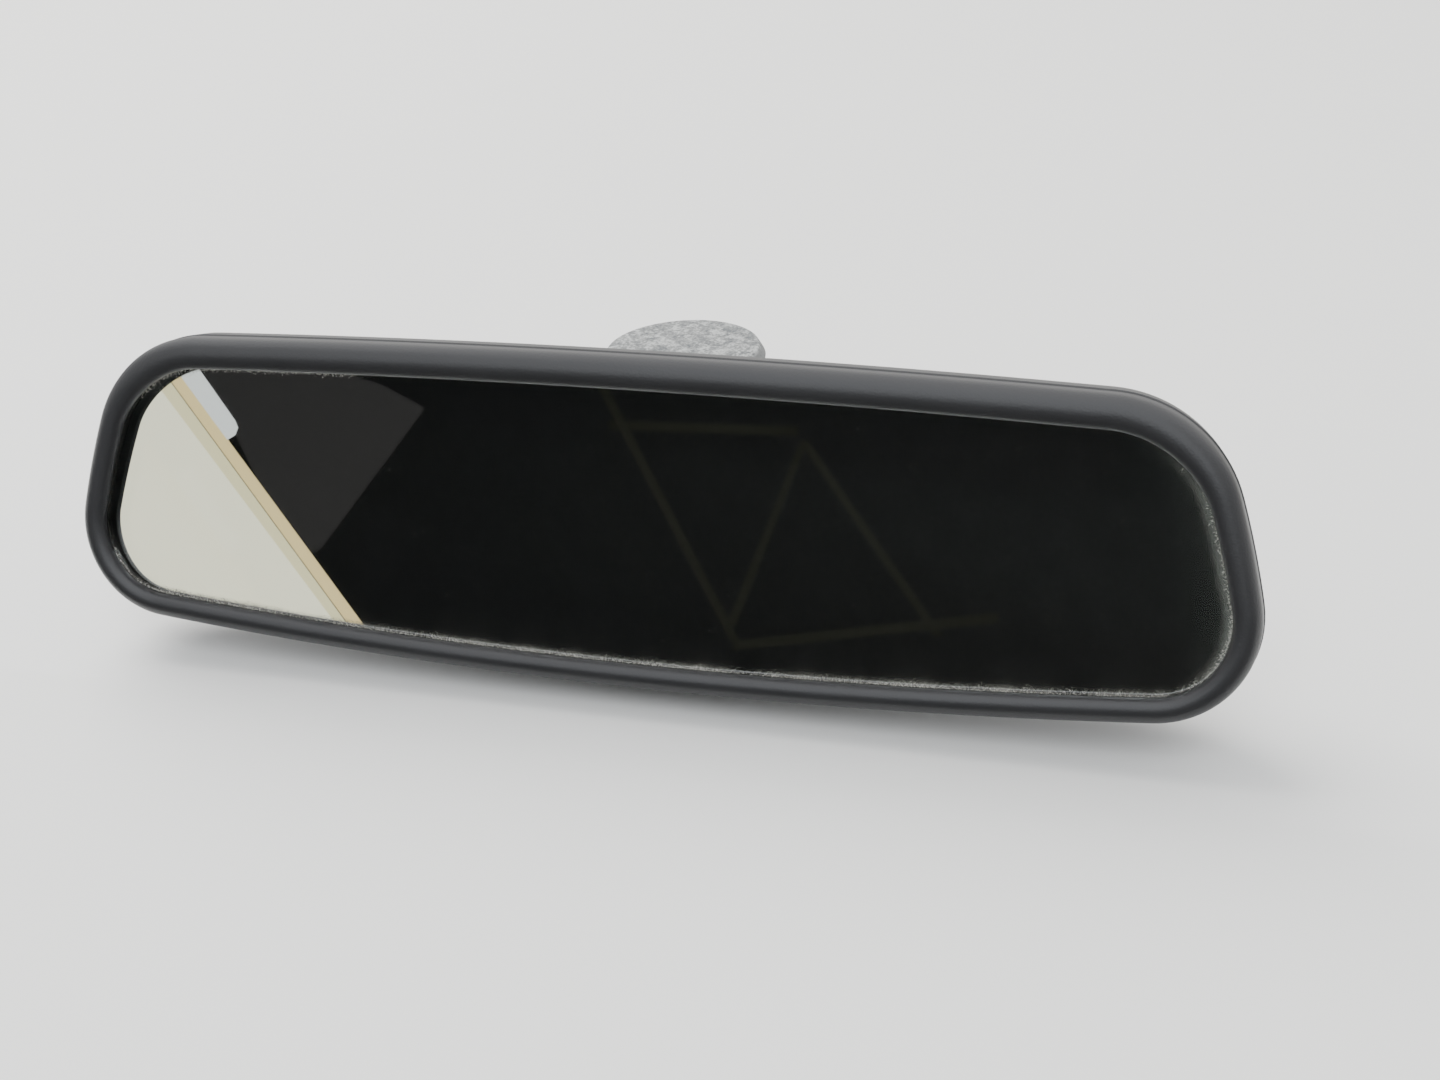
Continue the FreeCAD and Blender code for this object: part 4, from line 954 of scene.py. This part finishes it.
def build_lever():
    """Tab with a rounded end on a hub, and the crank with its drive nose."""
    half = HUB_HALF * MM
    tab = prism("lever_tab", rounded_rectangle(TAB_HALF, 3.6, TAB_LENGTH, 3.0),
                -TAB_THICK / 2, TAB_THICK / 2, 0.5)
    web = prism("web", [(-HUB_HALF + 0.3, 0), (HUB_HALF - 0.3, 0), (HUB_HALF - 0.3, 6),
                        (0.3 - HUB_HALF, 6)], -TAB_THICK / 2 + 0.05, TAB_THICK / 2 - 0.05, 0.0)
    boolean(tab, web, "UNION")
    hub = lathe("hub", [(0, -half), (2.6 * MM, -half), (HUB_RADIUS * MM, 0.4 * MM - half),
                        (HUB_RADIUS * MM, half - 0.4 * MM), (2.6 * MM, half), (0, half)], 64)
    move(hub, ALONG_X)
    boolean(tab, hub, "UNION")
    move(tab, Matrix.Rotation(math.radians(-TAB_ANGLE), 4, "X"))
    crank = block_mesh("crank", [((-2.5 * MM, -1.0 * MM, 0), (2.5 * MM, 1.0 * MM, CRANK * MM))], 0)
    nose = cylinder("nose", NOSE_RADIUS * MM, -NOSE_HALF * MM, NOSE_HALF * MM, 32)
    move(nose, Matrix.Translation((0, 0, CRANK * MM)) @ ALONG_X)
    boolean(crank, nose, "UNION")
    move(crank, Matrix.Rotation(math.radians(LEVER_THROW / 2), 4, "X"))
    boolean(tab, crank, "UNION")
    bore = cylinder("bore", 1.26 * MM, -30 * MM, 30 * MM, 48)
    boolean(tab, move(bore, ALONG_X), "DIFFERENCE")
    smooth_by_angle(tab, 30.0)
    move(tab, lever_frame(0.0))
    finish_piece(tab, LEVER, "lever", "lever_plastic", "dip_lever")


def build_grip():
    """Soft ribbed sleeve over the end of the tab."""
    low, high = TAB_LENGTH - GRIP_LENGTH, TAB_LENGTH + GRIP_WALL
    half, thick = TAB_HALF + GRIP_WALL, TAB_THICK / 2 + GRIP_WALL
    side = []
    pitch = (high - GRIP_NOSE - low - 0.8) / RIDGES
    for k in range(RIDGES * 8 + 1):
        y = low + 0.8 + pitch * k / 8
        side.append((y, thick - RIDGE_DEPTH * (0.5 + 0.5 * math.cos(2 * math.pi * k / 8))))
    side = [(low, thick - 0.75), (low + 0.3, thick - 0.45)] + side
    side += arc((high - GRIP_NOSE, 0), thick - RIDGE_DEPTH, 80, 0, 9)
    side = side + [(y, -z) for y, z in reversed(side[:-1])]
    verts, faces, rows = [], [], []
    offsets = [-half, -half + 0.12, -half + 0.5, half - 0.5, half - 0.12, half]
    shrink = [0.72, 0.90, 1.0, 1.0, 0.90, 0.72]
    for x, scale in zip(offsets, shrink):
        rows.append(range(len(verts), len(verts) + len(side)))
        for y, z in side:
            verts.append((x * MM, min(y, high - (1 - scale) * 1.2) * MM, z * scale * MM))
    size = len(side)
    for a, b in zip(rows, rows[1:]):
        faces += [(a[k], a[(k + 1) % size], b[(k + 1) % size], b[k]) for k in range(size)]
    faces += [tuple(rows[0]), tuple(reversed(rows[-1]))]
    grip = new_object("grip_sleeve", verts, faces)
    inner = prism("inner", rounded_rectangle(TAB_HALF + 0.02, -1, TAB_LENGTH + 0.02, 3.0),
                  -TAB_THICK / 2 - 0.02, TAB_THICK / 2 + 0.02, 0.0)
    boolean(grip, inner, "DIFFERENCE")
    smooth_by_angle(grip, 40.0)
    move(grip, lever_frame(-TAB_ANGLE))
    finish_piece(grip, GRIP, "lever", "soft_grip", "lever_grip")


# ---------------------------------------------------------------- pieces kept from the CAD

KEPT = {
    "ball_seat": (NYLON, "nylon"), "toggle_bracket": (INNER, "structural_plastic"),
    "hinge_rod": (STEEL, "polished_steel"), "rod_clips": (SPRING, "spring_steel"),
    "lever_pin": (STEEL, "polished_steel"), "toggle_spring": (SPRING, "spring_steel"),
    "spring_screw": (PLATED, "zinc_plated_steel"), "felt_pads": (FELT, "felt"),
    "rubber_bumpers": (RUBBER, "rubber"), "foam_blocks": (FOAM, "foam"),
    "adhesive_sheet": (TAPE, "adhesive_foam"),
}


def dress_kept():
    """Materials for the CAD nodes that show as they are."""
    for name, (material, slot_name) in KEPT.items():
        node = frame["nodes"][name]
        if not node.material_slots:
            node.data.materials.append(material)
        for holder in node.material_slots:
            holder.material = material


# ---------------------------------------------------------------- floor, light and camera

FLOOR = 14.0               # half the side of the floor
LOWEST = min(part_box(name)[0].z for name in frame["nodes"])


def build_floor():
    """Plain pale floor at the height of the lowest point."""
    corners = [(x * FLOOR, y * FLOOR, LOWEST) for x, y in ((-1, -1), (1, -1), (1, 1), (-1, 1))]
    floor = new_object("floor", corners, [(0, 1, 2, 3)], smooth=False)
    n = Nodes("floor_paint")
    tone = n.ramp(n.noise(2.2, 3.0), [(0.3, (0.885, 0.885, 0.865)), (0.7, (0.91, 0.91, 0.89))])
    n.principled(Base_Color=tone, Roughness=0.55, Specular_IOR_Level=0.3)
    floor.data.materials.append(n.material)


def emitter(name, corners, colour, strength, in_glass=False):
    """A glowing card that the camera cannot see: it shows in reflections, or, with in_glass,
    only in what comes back through the glass from the silvering."""
    card = new_object(name, corners, [tuple(range(len(corners)))], smooth=False)
    material = bpy.data.materials.new(name)
    material.use_nodes = True
    tree = material.node_tree
    tree.nodes.clear()
    glow = tree.nodes.new("ShaderNodeEmission")
    glow.inputs["Color"].default_value = (*colour, 1)
    glow.inputs["Strength"].default_value = strength
    output = tree.nodes.new("ShaderNodeOutputMaterial")
    tree.links.new(glow.outputs[0], output.inputs["Surface"])
    card.data.materials.append(material)
    card.visible_camera = False
    card.visible_diffuse = False
    card.visible_shadow = False
    card.visible_glossy = not in_glass
    card.visible_transmission = in_glass


# Corners (x, z) in mm of what stands in front of the mirror, on a wall at CARD_WALL
CARD_WALL = -0.300
BOARD = [(-341.2, 121.8), (-166.6, -43.6), (-300.1, -57.0), (-520.0, -57.0), (-520.0, 121.8)]
BATTEN_SIDE = [(-341.2, 121.8), (-334.7, 123.5), (-161.1, -45.1), (-166.6, -43.6)]
BATTEN = [(-334.7, 123.5), (-333.4, 128.2), (-154.6, -45.4), (-161.1, -45.1)]
STRIP = [(-282.0, 80.0), (-274.0, 82.3), (-267.0, 74.2), (-248.6, 55.5), (-247.0, 53.0),
         (-247.6, 50.2), (-250.6, 48.2), (-275.0, 71.9)]
DIM_PANEL = [(-253.8, 86.9), (-195.3, 73.0), (-176.8, 65.1), (-208.9, 11.8), (-217.1, 6.4),
             (-271.1, 78.5)]
BEAMS = [
    [(-114.3, 77.9), (-110.6, 78.1), (-50.2, -8.2), (-53.6, -8.5)],
    [(-38.7, 59.2), (-36.0, 59.4), (-52.2, -3.3), (-55.6, -3.6)],
    [(-38.9, 60.9), (-35.5, 61.1), (17.1, -0.3), (13.9, -0.6)],
    [(-106.4, 64.0), (-105.9, 60.5), (-39.1, 62.3), (-39.5, 65.7)],
    [(-52.6, -8.4), (-52.1, -11.7), (34.3, 5.5), (33.9, 8.8)],
]


def build_cards():
    """What the mirror sees: a dark room, a pale board with its batten and a few dim beams."""
    def wall(points, layer):
        return [(x * MM, CARD_WALL + layer * MM, z * MM) for x, z in points]

    emitter("dark_room", wall([(-900, -58), (900, -58), (900, 240), (-900, 240)], 0),
            (0.88, 0.95, 1.0), 0.0062, True)
    emitter("dim_panel", wall(DIM_PANEL, 1), (1.0, 0.96, 0.96), 0.034, True)
    for index, points in enumerate(BEAMS):
        emitter(f"beam{index}", wall(points, 2 + 0.2 * index), (0.92, 0.95, 0.70), 0.0145, True)
    emitter("board", wall(BOARD, 3), (1.0, 0.965, 0.75), 1.56, True)
    emitter("batten", wall(BATTEN, 4), (1.0, 0.79, 0.39), 1.25, True)
    emitter("batten_side", wall(BATTEN_SIDE, 5), (1.0, 0.92, 0.57), 1.25, True)
    emitter("strip", wall(STRIP, 6), (0.97, 1.0, 1.0), 1.20, True)


def build_panels():
    """What the satin plastic sees: bright panels behind and above, a dark floor in front."""
    low = LOWEST + 0.5 * MM

    def across(half, near, far):
        """A card across the scene between two (y, z) lines."""
        return [(x, y, z) for x, (y, z) in ((-half, near), (half, near), (half, far), (-half, far))]

    emitter("horizon", across(3.0, (0.12, low), (4.0, low)), (1.0, 0.985, 0.95), 1.1)
    emitter("low_sky", across(3.0, (2.4, 0.5), (1.0, 1.1)), (1.0, 0.99, 0.97), 2.0)
    emitter("high_sky", across(2.0, (1.0, 1.1), (-0.5, 1.5)), (0.97, 0.98, 1.0), 2.4)
    emitter("front_sky", across(0.6, (-0.5, 1.5), (-1.0, 0.22)), (0.92, 0.955, 1.0), 2.5)
    emitter("dark_front", across(0.9, (-0.30, low), (-0.30, 0.045)), (0.88, 0.95, 1.0), 0.006)
    emitter("floor_shade", across(0.8, (-0.7, low), (-0.064, low)), (0.9, 0.95, 1.0), 0.02)


def build_lights():
    """Soft sky, a key light behind to the left and a fill in front."""
    world = bpy.data.worlds.new("studio")
    bpy.context.scene.world = world
    world.use_nodes = True
    sky = world.node_tree.nodes["Background"]
    sky.inputs["Color"].default_value = (0.97, 0.98, 1.0, 1)
    sky.inputs["Strength"].default_value = 0.95
    for name, place, size, power, colour, shines in (
            ("key", (-0.9, 0.7, 1.5), 1.4, 48.0, (1.0, 0.985, 0.96), False),
            ("front_fill", (0.3, -1.3, 1.5), 1.2, 19.0, (0.92, 0.96, 1.0), True)):
        data = bpy.data.lights.new(name, "AREA")
        data.shape = "SQUARE"
        data.size = size
        data.energy = power
        data.color = colour
        lamp = link_object(name, data)
        lamp.location = place
        aim = Vector((0, 0, -0.03)) - Vector(place)
        lamp.rotation_euler = aim.to_track_quat("-Z", "Y").to_euler()
        lamp.visible_glossy = shines


CAMERA_PLACE = Vector((138.1, -364.7, 81.3)) * MM       # in the head frame, as the two below
CAMERA_AIM = Vector((-0.299, 0.930, -0.212))
CAMERA_RIGHT = Vector((0.951, 0.310, 0.0195))


def build_camera():
    """In front of the mirror, off to the right and above, looking down at the glass."""
    data = bpy.data.cameras.new("camera")
    data.lens = 50.0
    data.sensor_width = 36.0
    data.clip_start = 0.01
    camera = link_object("camera", data)
    back = -CAMERA_AIM.normalized()
    right = (CAMERA_RIGHT - back * CAMERA_RIGHT.dot(back)).normalized()
    up = back.cross(right)
    local = Matrix((right, up, back)).transposed().to_4x4()
    local.translation = CAMERA_PLACE
    camera.matrix_world = HEAD @ local
    bpy.context.scene.camera = camera


build_bezel()
build_shell()
build_glass()
build_lint()
build_film()
build_foot()
build_stud()
build_liner()
build_ring()
build_screws()
build_lever()
build_grip()
dress_kept()
build_floor()
build_cards()
build_panels()
build_lights()
build_camera()
